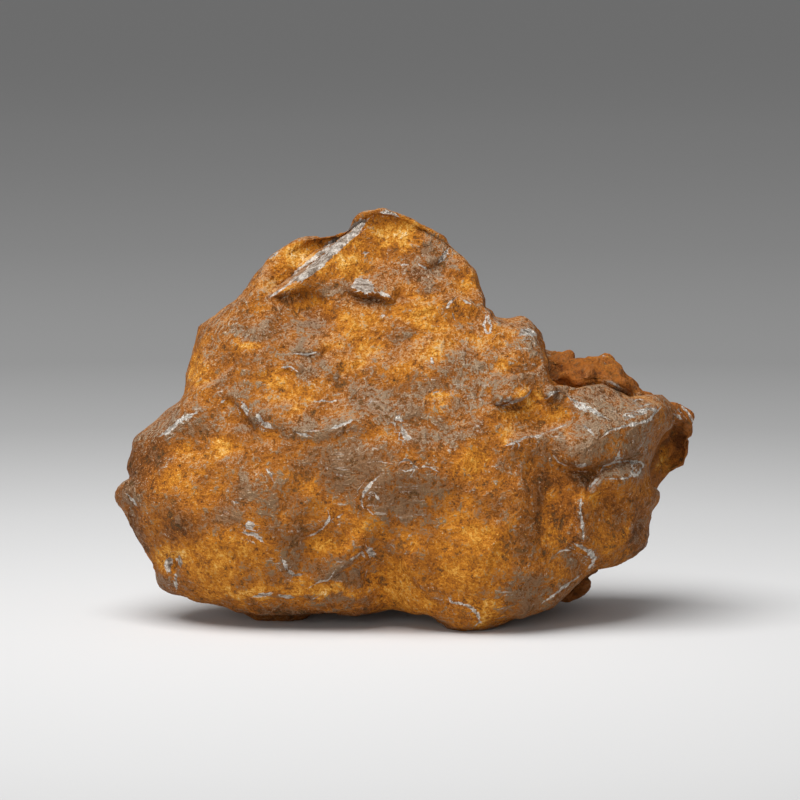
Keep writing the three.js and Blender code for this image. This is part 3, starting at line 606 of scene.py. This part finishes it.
# Where the skin is worn through to bright metal, along edges and in chips: the half width, then
# the points of the line.
bareLines = [
    # lip of the upper left
    (1.9, (-25.4, 77.4), (-23.1, 78.6), (-19.1, 81.5), (-16.4, 84), (-13, 87.2), (-10.1, 89.6),
     (-7.4, 91.4)),
    (0.3, (-29.7, 73.7), (-27, 75.7), (-24.3, 77.3)), (0.35, (-4.3, 93), (-2.2, 93), (-0.2, 92.1)),
    (0.3, (-30.1, 82.4), (-27.4, 84.2)), (0.3, (-8.5, 83.8), (-7, 84)),
    # plate and knob under the peak
    (0.25, (0, 81.1), (2, 81.3)), (0.3, (4, 81.5), (6.1, 80.2)),
    (0.45, (8.5, 81.3), (9.7, 82.9), (10.8, 84.7)),
    (1.6, (-10.6, 76.3), (-9.2, 76.8), (-7.6, 76.5), (-6.1, 75.3)),
    (0.3, (-5, 75), (-3.1, 74.3), (-1.6, 73.5)), (0.35, (-4.3, 69.6), (-3.4, 69.8)),
    # upper face
    (0.3, (10.4, 71.2), (11.2, 72.5), (12.8, 73.9)), (0.3, (14.2, 73.2), (16, 72.3)),
    (0.25, (11.9, 70.3), (12.4, 68.7)),
    (0.25, (19.6, 70.5), (19.4, 69), (18.9, 67.4), (19.6, 65.6), (20.5, 65.8), (20.7, 67.4), (20, 69),
     (20.2, 70.3)),
    (0.7, (27, 65.3), (28.8, 66), (31, 65.3)), (0.2, (-24.3, 61.1), (-21.1, 60.8), (-18.5, 61.5)),
    (0.2, (-27, 57.9), (-24.8, 58.1), (-23, 56.8)),
    (0.25, (-19.3, 50), (-17.5, 50.3), (-15.5, 50), (-14, 50.7)), (0.3, (7, 60.2), (7.7, 58.4)),
    (0.25, (7.4, 52.1), (9, 52.5)),
    # chips beside the brow
    (0.35, (-40.7, 50), (-39.8, 50.5)), (0.6, (-36, 50.2), (-35.1, 48.7), (-34.6, 47)),
    (0.5, (-32.6, 47.4), (-31, 45.3), (-29.2, 44.2)),
    (0.45, (-54.7, 42.2), (-52.9, 43.3), (-51.1, 44.9), (-49.5, 46), (-45.9, 47.8)),
    (0.25, (-24.3, 43.3), (-22.3, 42.6), (-20, 42.2)), (0.3, (-15.8, 43.8), (-12.4, 45.1), (-10.6, 46)),
    (0.35, (0.2, 47.4), (-1, 46), (0.9, 45.7)), (0.55, (0.4, 44), (0.9, 42.3), (2.5, 41.6)),
    (0.2, (-7.2, 49.4), (-6.3, 50.5)),
    # left lobe
    (0.35, (-62.1, 29.1), (-61.2, 28), (-59.8, 26.2)), (1, (-53, 11.4), (-52.4, 14.6)),
    (0.6, (-50.3, 14.9), (-49.9, 12.4)), (0.4, (-51.1, 10.8), (-50.9, 7.2)),
    (0.9, (-35.3, 21.8), (-33.1, 21.7)), (0.35, (-37.9, 27.3), (-36.4, 26.9)),
    (0.4, (-36, 20.3), (-34.6, 19.9), (-33.1, 19.7), (-31, 17.9)),
    (0.2, (-30.6, 35), (-29.2, 33.2), (-29, 32)),
    (0.25, (-16.4, 25.3), (-16, 23.5), (-17.5, 21.2), (-19.3, 19.9), (-21.6, 19.2)),
    (0.2, (-14.6, 23.5), (-12.8, 24.6)), (0.45, (-26.8, 14), (-25.6, 11.6), (-24.1, 10.4), (-22, 10.7)),
    (0.2, (-21.1, 7.3), (-18.2, 9.1), (-16.2, 9.3), (-14.8, 11.6)),
    (0.35, (-33.5, 5.5), (-31.5, 5.9), (-28.8, 6.4)), (0.35, (-27.6, 5.9), (-25.6, 5.3), (-23.9, 5.3)),
    (0.2, (-19.8, 5), (-18.5, 5.5)), (0.8, (-7.4, 16.8), (-5.8, 14.6)),
    (0.3, (-8.8, 16.1), (-8.1, 14.5)), (0.2, (-7.6, 11.6), (-8.1, 9.5)),
    # round plate
    (0.35, (-5, 33), (-7, 31.1), (-8.1, 29.3), (-8.8, 27.3), (-8.3, 25.5)),
    (0.2, (-7.6, 25.8), (-6.1, 24.2)),
    (0.4, (-0.2, 36.1), (1.1, 36.8), (2.5, 36.5), (3.2, 35.2), (4.3, 35)),
    (0.2, (4.3, 35.4), (6.8, 35.2), (9.2, 33.8)), (0.25, (0.9, 32.7), (1.6, 32.5)),
    (0.25, (-5.8, 29.3), (-4.5, 27.3)),
    # right of the face
    (0.3, (23.2, 50.3), (25.2, 50), (27.5, 50.5), (29, 51.6), (29.9, 53)),
    (0.3, (32.6, 50.7), (33.5, 51), (34.4, 52.1), (36.2, 52.5)),
    (0.25, (23.4, 39.9), (25.2, 40.4), (27.2, 41.3), (28.6, 42), (31.5, 42.2), (32.9, 43.1)),
    (0.2, (26.8, 39.2), (27.2, 40.8)), (0.15, (33.3, 42.8), (34.2, 43.5), (36.5, 44.4), (38.2, 44.9)),
    (0.35, (11, 5.5), (11.7, 4.2), (14, 3.9), (16.2, 3), (17.5, 1.7), (18.2, -0.3), (17.1, -1.2)),
    (0.3, (41.2, 28), (41, 26.2), (41.2, 24.2), (41.6, 21.2), (41.8, 18.3)),
    (0.5, (39.8, 17.6), (41.4, 17), (43, 15.8), (44.1, 14.5), (43.9, 13.1), (42.8, 12)),
    (0.2, (35.5, 15.2), (37.1, 16.3), (38.9, 16.1)),
    (0.25, (32.2, 3.9), (34.2, 5.3), (36, 6.6), (38.7, 8.7), (41.6, 10.9)),
    # chipped block
    (0.4, (37.6, 51.6), (39.2, 50.5), (41.4, 49.4), (44.1, 48), (46.1, 46.7), (47.9, 45.8)),
    (0.2, (38.9, 50), (40.5, 48.7), (42.8, 47.6)),
    (0.3, (49.3, 46.2), (51.3, 47.3), (54, 48), (56.7, 48.5), (58.3, 48), (56.7, 46), (54, 45.1),
     (50.6, 44.4), (47.7, 43.5), (45, 41.3)),
    (0.2, (50.8, 45.8), (54, 47.1), (56.2, 47.6)), (0.25, (41.2, 45.1), (42.8, 43.8), (44.3, 42.2)),
    (0.35, (40.3, 35.4), (42.5, 35.6)), (0.15, (34.7, 38.1), (36, 36.3), (38.2, 35.4)),
    (0.25, (48.6, 36.5), (49.7, 37.7), (50, 39.5)),
    (0.25, (45, 33.2), (46.3, 35.4), (48.8, 36.3), (51.8, 36.5), (54.7, 36.3), (55.3, 35.6),
     (54.5, 34.1), (53.1, 33), (50, 32.5), (46.3, 32.5)),
    (0.3, (52.4, 36.1), (53.1, 34.8), (52.4, 33.2)), (0.3, (45.2, 32.5), (43.7, 31.4), (42.8, 29.6)),
    (0.25, (54, 39.2), (55.1, 40.6)), (0.3, (52.9, 50.5), (55.3, 50.7)),
    (0.2, (59.4, 49.1), (58.3, 47.8), (56.2, 45.8)),
    # crust lobe
    (0.4, (62.3, 47.3), (63.9, 46.2)), (0.3, (63.5, 49.6), (65.2, 47.8), (66.6, 45.1)),
    (0.3, (45, 60.8), (47, 60.4)),
]

# What colours the face: soft spots (across, up, half width, half height).
colourSpots = {
    "rust": [
        (-41.6, 13.4, 10.1, 7.9), (-52.9, 15.4, 5, 2.7), (-52.9, 33.4, 5.4, 3.1), (-45.9, 37, 4.5, 2.7),
        (-40.3, 39.2, 2.9, 2), (-28.5, 52, 4.5, 4), (-21.6, 31.4, 3.1, 2.7), (-11.2, 58.4, 3.6, 2.7),
        (-1.1, 7.8, 6.8, 6.8), (1.1, 17.9, 5, 3.4), (-7.9, 21.7, 4, 2), (-22.5, 7.3, 10.3, 2),
        (-16.9, 17.2, 4.5, 2.7), (15.8, 14.5, 7.7, 11.2), (16.9, 36.5, 3.5, 2.5), (29.5, 50, 2.2, 3.8),
        (36, 47.8, 3.6, 2.7), (25.7, 47.8, 4, 1.8), (9, 66.2, 5, 3.6), (15.8, 77.5, 3.1, 5.4),
        (0, 88.3, 6.3, 3.1), (-10.8, 81.1, 5.4, 2.7), (-22.5, 84.7, 7.2, 2), (6.3, 72.5, 4.5, 3.1),
        (-12.4, 68, 6.3, 4.5), (9, 50.5, 2.5, 1.6), (34.9, 21.7, 3.1, 8.1), (18, 0.5, 5.9, 1.8),
        (42.3, 28.9, 4, 2.2), (47.7, 17.9, 3.6, 2.2), (-22.5, 53.9, 3.6, 2.7), (-33.8, 81.5, 3.1, 3.1),
        (-22, 83, 6, 3), (-22, 71, 4, 1.8), (22.5, 66.2, 3.1, 1.8), (-1.1, 57.2, 4.5, 3.1)],
    "ochre": [
        (-29.2, 55.5, 2.2, 2), (24.3, 59.3, 3.4, 1.8), (7.2, 61.3, 4, 2.9), (9, 51, 2.5, 1.4),
        (-7.2, 61.3, 2.9, 2.2), (25.2, 42.4, 1.8, 1.6), (-28.1, 76.8, 2.9, 1.8),
        (-33.8, 63.3, 3.1, 1.4), (18, 31.4, 1.4, 1.1), (-4.5, 87.4, 2, 2.5), (2.2, 69.4, 2.7, 1.6),
        (-12.4, 81.5, 2.7, 1.4), (-41.6, 38.8, 1.8, 1.4), (-51.3, 14, 1.8, 1.4), (-0.3, 88.2, 5.4, 2.8),
        (-14, 6.6, 7, 1.2), (20, 3, 5, 2), (-23, 82.5, 7, 2.6), (-36, 6.6, 5, 1.5),
        (29.5, 50.2, 2.7, 2.7), (-46.1, 56.8, 2.2, 4), (-11.2, 86.9, 1.8, 1.4), (-15.8, 62.9, 2.7, 1.8),
        (18, 64, 3.6, 1.8), (-22.5, 49.4, 1.8, 1.1), (29.2, 52.3, 1.4, 1.8), (59.6, 36.3, 1.6, 2.4)],
    "patina": [
        (42.5, 45, 6, 3.6), (-8, 58, 4, 1.4), (2, 65, 4, 1.4), (-13, 64.5, 3, 1.8), (9, 69, 3, 1.2),
        (-49.5, 44.9, 7.7, 3.1), (-18, 43.5, 10.8, 2.7), (-12.4, 34.3, 9.9, 8.1),
        (1.1, 26.9, 11.7, 8.1), (42.8, 39.9, 8.1, 4.5), (45.9, 48.2, 9.5, 3.6), (50.6, 34.1, 5.4, 2),
        (18, 56.8, 10.3, 5.9), (9, 52.3, 9.5, 4), (1.8, 46.9, 9, 3.1), (-33.8, 53.9, 7.7, 2.7),
        (-36.4, 66.2, 5.9, 2), (-22.8, 62.2, 5, 1.6), (-3.4, 52.3, 7.2, 4), (-16.2, 75.7, 4, 3.1),
        (-24.8, 14, 5.9, 5.4), (-13.5, 10.4, 7.2, 4), (-38.7, 23.5, 4.5, 2.7), (-53, 9, 3.4, 2.4),
        (-35.2, 10, 3, 2.2), (-41.5, 23, 3.4, 2.6), (-15.8, 5, 9.9, 1.6), (6, 84.5, 5, 3.4),
        (29.7, 62.9, 3.4, 3.1), (28.1, 5.9, 9.5, 5.4), (38, 15, 3.6, 3), (-21.5, 67.5, 2.2, 2.6),
        (-19, 57, 4, 3), (-3, 50, 5, 3), (-32.5, 48, 3, 2.6), (9, 42.5, 6, 2.6), (54, 41.5, 4.5, 6),
        (-32.6, 28, 5.9, 6.8), (6.8, 76.4, 3.1, 1.8), (36, 52.3, 2.7, 1.1), (-60.8, 28, 2.2, 2.2)],
    # these spots are partly a dark burnt tone and partly painted shade: darker colour laid under the lip,
    # the knob, the peak plate and other ledges, in the hollows round the block and on the crust lobe, on
    # the right lobe's flank and along the left edge where the face turns away
    "burntAndShade": [
        (-60, 34, 4, 6), (-49.5, 21, 4, 3), (-60.5, 23, 1.8, 2.6), (38.9, 32.7, 5.6, 2.7),
        (34.2, 57.2, 3.4, 2), (63, 41.5, 2.4, 3.5), (25.9, 49.4, 3.4, 1.1), (-33.3, 46, 2.2, 2),
        (-26.4, 73, 4, 1.4), (-5.8, 73.2, 4.5, 1.1), (-18.5, 68, 2.2, 2), (-56.7, 36.5, 3.6, 7),
        (-22.5, 1.2, 15.8, 1.2), (6.8, 79.3, 5.9, 0.9), (32.6, 31.4, 3.4, 4.5), (-25.9, 43.8, 2.7, 0.9),
        (47.2, 52.3, 6.8, 1.1), (45, 5.5, 4.5, 2.7), (-59.6, 17.9, 2.2, 2.7), (22.5, 24.6, 1.1, 3.1),
        (39.4, 19, 1.6, 4), (31.4, 24, 2.2, 7), (54, 20.1, 1.8, 4.5), (37.2, 25.5, 4, 6),
        (48.5, 26.5, 3, 2.5), (42.8, 56.1, 3.1, 1.1)],
}

# How far noise shifts the spots' borders, and the noise zones that stand for spots off the face.
zones = {"shift": 2.2, "shiftSize": 4, "size": 17, "strength": 0.65}


def acrossLines(u, v, lines, near=1.6, far=3):
    # signed distance to the nearest line, and that line's half width there, thinning towards
    # both ends as 1 - 0.85 (2 share - 1)^4; the width is zero where no line is near
    across = np.full(u.shape, far)
    width = np.zeros(u.shape)
    for halfWidth, *line in lines:
        distance, side, share = nearestOnLine(u, v, line)
        nearer = distance < np.minimum(np.abs(across), near)
        across = np.where(nearer, np.where(side < 0, -distance, distance), across)
        width = np.where(nearer, halfWidth * (1 - 0.85 * (2 * share - 1) ** 4), width)
    return across, width


def spotShare(u, v, spots):
    # the highest exp(-r^2) of all the soft spots, with r = 1 on a spot's ellipse
    share = np.zeros(u.shape)
    for atU, atV, sizeU, sizeV in spots:
        r2 = ((u - atU) / sizeU) ** 2 + ((v - atV) / sizeV) ** 2
        share = np.maximum(share, np.exp(-r2))
    return share


def ridgeCurve(mesh, points, normals):
    # mean over a vertex's edges of 2 drop / length^2, where the drop is how far the neighbour
    # lies below the tangent plane: above zero on ridges, below zero in hollows, in 1/mm. Then it
    # is averaged twice with its neighbours
    edges = np.empty(len(mesh.edges) * 2, np.int64)
    mesh.edges.foreach_get("vertices", edges)
    a, b = edges.reshape(-1, 2).T
    run = points[b] - points[a]
    square = np.maximum((run * run).sum(1), 0.01)
    count = np.bincount(edges, minlength=len(points))
    dropA, dropB = -2 * (normals[a] * run).sum(1) / square, 2 * (normals[b] * run).sum(1) / square
    curve = np.bincount(a, dropA, len(points)) + np.bincount(b, dropB, len(points))
    curve = np.clip(curve / count, -2, 2)
    for _ in range(2):
        spread = np.bincount(a, curve[b], len(points)) + np.bincount(b, curve[a], len(points))
        curve = 0.4 * curve + 0.6 * spread / count
    return curve


def markColours(mesh, points, normals):
    # the face takes its spots, their borders shifted by noise; the rest takes noise zones; ridges
    # count less at the top of the stone
    u, v, y = toLayout(points)
    face = smooth(24, 18, y) * smooth(0.05, 0.3, -normals[:, 1])
    across, width = acrossLines(u, v, bareLines)
    shiftU, shiftV = [zones["shift"] * lumpNoise(points, zones["shiftSize"], 3, seed)
                      for seed in (41, 51)]
    marks = {"edgeAcross": across, "edgeWidth": width * face}
    for k, (name, spots) in enumerate(colourSpots.items()):
        onFace = spotShare(u + shiftU, v + shiftV, spots)
        zone = smooth(0.1, 0.7, lumpNoise(points, zones["size"], 2, seed=61 + k))
        marks[name] = onFace * face + zones["strength"] * zone * (1 - face)
    marks["crusted"] = crustShare(points)
    # the share of the skin that looks up, which lays the painted sheen of the film
    marks["upFacingSheen"] = smooth(-0.05, 0.85, normals[:, 2])
    marks["ridge"] = ridgeCurve(mesh, points, normals) * (1 - 0.8 * smooth(55, 65, v))
    for name, values in marks.items():
        attribute = mesh.attributes.new(name, "FLOAT", "POINT")
        attribute.data.foreach_set("value", values.astype(np.float32))


# Colours of the skin in linear light, its noises (grain size in millimetres, detail), and how its
# layers lie: a layer is its start plus each field times its weight, and where it has a low and a
# high it runs smoothly from 0 to 1 between them. The covers are how strongly each one shows.
finish = {
    "rustRamp": [(0, (0.055, 0.019, 0.004)), (0.2, (0.16, 0.05, 0.007)), (0.4, (0.32, 0.1, 0.01)),
                 (0.6, (0.54, 0.19, 0.013)), (0.8, (0.76, 0.37, 0.06)), (0.9, (0.84, 0.5, 0.17)),
                 (1, (0.94, 0.72, 0.42))],
    # the film is painted sheen: a pale tan laid on the skin where it looks up, in place of the overhead
    # lamp's reflection
    "warmSkin": (0.25, 0.145, 0.078), "coolSkin": (0.205, 0.155, 0.1), "film": (0.46, 0.34, 0.23),
    "crust": (0.34, 0.105, 0.016), "crustHollow": (0.1, 0.028, 0.008),
    "blotch": (0.12, 0.075, 0.028), "darkFleck": (0.06, 0.024, 0.01),
    "goldFleck": (0.85, 0.48, 0.09), "paleFleck": (0.75, 0.6, 0.44),
    "dullSteel": (0.2, 0.165, 0.13), "steel": (0.8, 0.75, 0.68),
    "cover": {"crust": 0.8, "skin": 0.85, "film": 0.5, "blotch": 0.5, "darkFleck": 0.75, "line": 0.9,
              "worn": 0.5, "scratch": 0.35, "metal": 0.6},
    "noises": {"cloud": (7, 4), "mottle": (2.2, 3), "grain": (0.8, 4), "dust": (0.33, 1)},
    "streak": {"size": 0.9, "detail": 2, "rise": 28, "squeeze": 0.12},
    "lines": {"spread": 1.1, "raggedUpTo": 0.5, "border": (-0.04, 0.14), "thinnest": (0.02, 0.08)},
    "bump": {"strength": 0.9, "height": 0.0007},
    "layers": {
        # the burnt spots, partly painted shade, move the rust down its ramp to darker colours
        "warmth": (0.45, None, dict(rust=0.16, ochre=0.24, burntAndShade=-0.24, patina=-0.04, ridge=-0.1,
                                    cloud=0.12, mottle=0.16, grain=0.22, dust=0.13, ochreGrain=0.1)),
        "hollow": (0, (-0.1, 0.7), dict(ridge=-1, burntAndShade=0.2, cloud=0.3, mottle=0.6, grain=0.5)),
        "crustCover": (0.3, (-0.6, 0.5), dict(mottle=0.5, grain=0.3, ochre=-0.6)),
        "skin": (0.3, (0.32, 0.64), dict(patina=0.34, rust=-0.28, ochre=-0.3, ridge=0.3, cloud=-0.2,
                                         mottle=0.36, grain=0.36, dust=0.2)),
        "offCrust": (1, None, dict(crusted=-0.8)),
        "cool": (0, (-0.6, 0.6), dict(cloud=1)),
        # the film is painted sheen: paler skin where it looks up, in place of the lamp's reflection
        "film": (0, (0.75, 1.25), dict(upFacingSheen=1, patina=0.25, rust=-0.15, crusted=-0.8, mottle=0.35,
                                         grain=0.6, dust=0.4)),
        "blotch": (0, (0.3, 0.75), dict(mottle=-0.8, cloud=-0.4, grain=-0.4, ochre=-0.2)),
        "paleFleck": (-0.14, (0.48, 0.66), dict(dust=0.7, grain=0.5, film=0.15, crusted=-0.15)),
        "fleckCover": (0.6, None, dict(skin=-0.25)),
        "darkFleck": (0, (0.55, 0.75), dict(dust=-0.6, mottle=-0.6)),
        "ragged": (0, None, dict(grain=0.8, mottle=0.9)),
        "worn": (0, (0.5, 0.8), dict(ridge=1, mottle=0.2, grain=0.1, crusted=-1)),
        "scratch": (0, (0.5, 0.9), dict(streak=1, grain=0.2)),
        "glint": (0, (-0.5, 0.6), dict(grain=0.4, dust=0.15, streak=0.5, mottle=0.4)),
        "roughness": (0.7, None, dict(skin=-0.2, film=-0.08, bright=-0.18, grain=0.05, crusted=0.12)),
        "bump": (0, None, dict(mottle=0.5, grain=0.4, dust=0.15, bright=-0.2)),
    },
}


def newMaterial(name):
    # a material, its node tree and the inputs of its shader
    material = bpy.data.materials.new(name)
    material.use_nodes = True
    return material, material.node_tree, material.node_tree.nodes["Principled BSDF"].inputs


def wire(socket, value):
    # an output is linked to the socket, a number or colour is set on it
    if isinstance(value, bpy.types.NodeSocket):
        socket.id_data.links.new(value, socket)
    elif isinstance(value, tuple):
        socket.default_value = (*value, 1)
    else:
        socket.default_value = value


def calc(operation, first, *others):
    # the first value is an output, and the new node joins its tree
    node = first.id_data.nodes.new("ShaderNodeMath")
    node.operation = operation
    for socket, value in zip(node.inputs, (first, *others)):
        wire(socket, value)
    return node.outputs[0]


def times(first, second):
    return calc("MULTIPLY", first, second)


def above(value, low, high):
    # 0 below low, 1 above high, smooth between them
    node = value.id_data.nodes.new("ShaderNodeMapRange")
    node.interpolation_type = "SMOOTHSTEP"
    wire(node.inputs["Value"], value)
    node.inputs["From Min"].default_value = low
    node.inputs["From Max"].default_value = high
    return node.outputs[0]


def blend(share, first, second):
    # the first colour where the share is 0, the second where it is 1
    node = share.id_data.nodes.new("ShaderNodeMix")
    node.data_type = "RGBA"
    for k, value in ((0, share), (6, first), (7, second)):
        wire(node.inputs[k], value)
    return node.outputs[2]


def colourRamp(value, stops):
    # straight from each stop's colour to the next
    node = value.id_data.nodes.new("ShaderNodeValToRGB")
    wire(node.inputs["Fac"], value)
    for k, (position, colour) in enumerate(stops):
        stop = node.color_ramp.elements[k] if k < 2 else node.color_ramp.elements.new(position)
        stop.position = position
        stop.color = (*colour, 1)
    return node.outputs["Color"]


def grains(place, size, detail):
    # noise of that grain size in millimetres, from about -1 to 1
    node = place.id_data.nodes.new("ShaderNodeTexNoise")
    wire(node.inputs["Vector"], place)
    node.inputs["Scale"].default_value = 1000 / size
    node.inputs["Detail"].default_value = detail
    node.inputs["Roughness"].default_value = 0.6
    return calc("MULTIPLY_ADD", node.outputs[0], 4, -2)


def skinFields(tree):
    # what the layers are made of: the noises, and the marks that the skin carries
    place = tree.nodes.new("ShaderNodeTexCoord").outputs["Object"]
    fields = {name: grains(place, *row) for name, row in finish["noises"].items()}
    streak = finish["streak"]
    along = tree.nodes.new("ShaderNodeMapping")  # long thin grains rising to the right
    wire(along.inputs["Vector"], place)
    along.inputs["Rotation"].default_value = (0, math.radians(streak["rise"]), 0)
    along.inputs["Scale"].default_value = (streak["squeeze"], 1, 1)
    fields["streak"] = grains(along.outputs[0], streak["size"], streak["detail"])
    for name in [*colourSpots, "crusted", "ridge", "upFacingSheen", "edgeAcross", "edgeWidth"]:
        node = tree.nodes.new("ShaderNodeAttribute")
        node.attribute_name = name
        fields[name] = node.outputs["Fac"]
    fields["ochreGrain"] = times(fields["ochre"], fields["grain"])
    return fields


def layer(fields, name):
    # start plus each field times its weight, then smooth from its low to its high if it has them
    start, between, weights = finish["layers"][name]
    total = start
    for field, weight in weights.items():
        total = calc("MULTIPLY_ADD", fields[field], weight, total)
    return above(total, *between) if between else total


def skinColour(fields):
    # rust, then crust, worn skin in patches, a film of painted sheen where the skin looks up,
    # blotches and flecks; the pale flecks are gold in the rust
    cover = finish["cover"]
    colour = colourRamp(layer(fields, "warmth"), finish["rustRamp"])
    crust = blend(layer(fields, "hollow"), finish["crust"], finish["crustHollow"])
    crusted = times(fields["crusted"], layer(fields, "crustCover"))
    colour = blend(times(crusted, cover["crust"]), colour, crust)
    fields["skin"] = times(layer(fields, "skin"), layer(fields, "offCrust"))
    skinTone = blend(layer(fields, "cool"), finish["warmSkin"], finish["coolSkin"])
    colour = blend(times(fields["skin"], cover["skin"]), colour, skinTone)
    fields["film"] = layer(fields, "film")
    colour = blend(times(fields["film"], cover["film"]), colour, finish["film"])
    colour = blend(times(layer(fields, "blotch"), cover["blotch"]), colour, finish["blotch"])
    fleck = blend(fields["skin"], finish["goldFleck"], finish["paleFleck"])
    colour = blend(times(layer(fields, "paleFleck"), layer(fields, "fleckCover")), colour, fleck)
    return blend(times(layer(fields, "darkFleck"), cover["darkFleck"]), colour, finish["darkFleck"])


def bareMetal(fields):
    # along the worn lines, as far as each is wide and ragged; on sharp ridges; in fine scratches
    cover, lines, width = finish["cover"], finish["lines"], fields["edgeWidth"]
    ragged = times(calc("MINIMUM", width, lines["raggedUpTo"]), layer(fields, "ragged"))
    reach = calc("MULTIPLY_ADD", width, lines["spread"], ragged)
    inside = calc("SUBTRACT", reach, calc("ABSOLUTE", fields["edgeAcross"]))
    lined = times(above(inside, *lines["border"]), above(width, *lines["thinnest"]))
    bright = calc("MAXIMUM", times(lined, cover["line"]), times(layer(fields, "worn"), cover["worn"]))
    scratched = times(layer(fields, "scratch"), fields["skin"])
    return calc("MAXIMUM", bright, times(scratched, cover["scratch"]))


def ironFinish():
    material, tree, shader = newMaterial("weatheredIron")
    fields = skinFields(tree)
    colour = skinColour(fields)
    fields["bright"] = bareMetal(fields)
    steel = blend(layer(fields, "glint"), finish["dullSteel"], finish["steel"])
    metal = calc("MAXIMUM", *[times(fields[name], finish["cover"]["metal"]) for name in ("skin", "bright")])
    wire(shader["Base Color"], blend(fields["bright"], colour, steel))
    wire(shader["Metallic"], metal)
    wire(shader["Roughness"], layer(fields, "roughness"))
    shader["Specular IOR Level"].default_value = 0.15
    bump = tree.nodes.new("ShaderNodeBump")
    bump.inputs["Strength"].default_value = finish["bump"]["strength"]
    bump.inputs["Distance"].default_value = finish["bump"]["height"]
    wire(bump.inputs["Height"], layer(fields, "bump"))
    wire(shader["Normal"], bump.outputs["Normal"])
    return material


markColours(skin, layout, vertexArray(skin, "normal"))
skin.materials.clear()
skin.materials.append(ironFinish())
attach(stone, "root")
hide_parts("meteorite")
print("finish done")


floorLook = {
    "half": 40,  # metres
    # how pale the floor is at each distance from the stone, in metres; the greys are painted light and
    # shade, standing in for how the studio light falls off over the floor
    "greys": [(0, 0.7), (0.2, 0.55), (0.4, 0.39), (0.6, 0.34), (1.14, 0.42), (2.25, 0.56), (5.5, 0.6)],
}


def addFloor():
    # the ramp reads distance / (distance + 1), which brings the far end to 1
    half = floorLook["half"]
    corners = np.array([(-half, -half, 0), (half, -half, 0), (half, half, 0), (-half, half, 0)], float)
    floor = addMesh("floor", corners, np.array([[0, 1, 2, 3]]))
    material, tree, shader = newMaterial("paleBoard")
    away = tree.nodes.new("ShaderNodeVectorMath")
    away.operation = "LENGTH"
    wire(away.inputs[0], tree.nodes.new("ShaderNodeTexCoord").outputs["Object"])
    distance = away.outputs["Value"]
    share = calc("DIVIDE", distance, calc("ADD", distance, 1))
    stops = [(far / (far + 1), (grey, grey, grey)) for far, grey in floorLook["greys"]]
    wire(shader["Base Color"], colourRamp(share, stops))
    shader["Roughness"].default_value = 0.9
    shader["Specular IOR Level"].default_value = 0.1
    floor.data.materials.append(material)


# Two soft lamps and an even white room, in metres; the film and what the picture spans at the
# stone, in millimetres.
studio = {
    "lamps": [
        {"name": "overhead", "at": (-0.3, -0.3, 1.1), "size": (1.1, 0.9), "watts": 19},
        {"name": "frontFill", "at": (-0.35, -1.4, 0.3), "size": (0.9, 0.5), "watts": 7},
    ],
    "lampsAimAt": (0, 0, 0.05), "roomLight": 0.24, "farClip": 200, "film": 36, "pictureWidth": 180,
}


def aim(thing, at, target):
    # from its place it looks at the target
    thing.location = at
    thing.rotation_mode = "QUATERNION"
    thing.rotation_quaternion = (Vector(target) - Vector(at)).to_track_quat("-Z", "Y")


def addLights():
    for row in studio["lamps"]:
        lamp = bpy.data.lights.new(row["name"], "AREA")
        lamp.shape = "RECTANGLE"
        lamp.size, lamp.size_y = row["size"]
        lamp.energy = row["watts"]
        aim(addObject(row["name"], lamp), row["at"], studio["lampsAimAt"])
    world = bpy.data.worlds.new("studio")
    world.use_nodes = True
    room = world.node_tree.nodes["Background"].inputs
    room["Color"].default_value = (1, 1, 1, 1)
    room["Strength"].default_value = studio["roomLight"]
    bpy.context.scene.world = world
    bpy.context.scene.view_settings.view_transform = "Standard"


def addCamera():
    # the layout's eye, moved as the stone was
    tilt = math.radians(eye["tiltDeg"])
    target = (np.array([0, 0, eye["level"] / math.cos(tilt)]) * stretch + shift) / 1000
    back = np.array([0, -math.cos(tilt), math.sin(tilt)]) * eye["distance"] / 1000
    lens = bpy.data.cameras.new("camera")
    lens.sensor_width = studio["film"]
    lens.lens = studio["film"] * eye["distance"] / studio["pictureWidth"]
    lens.clip_end = studio["farClip"]
    camera = addObject("camera", lens)
    aim(camera, target + back, target)
    bpy.context.scene.camera = camera


addFloor()
addLights()
addCamera()
print("stage done")
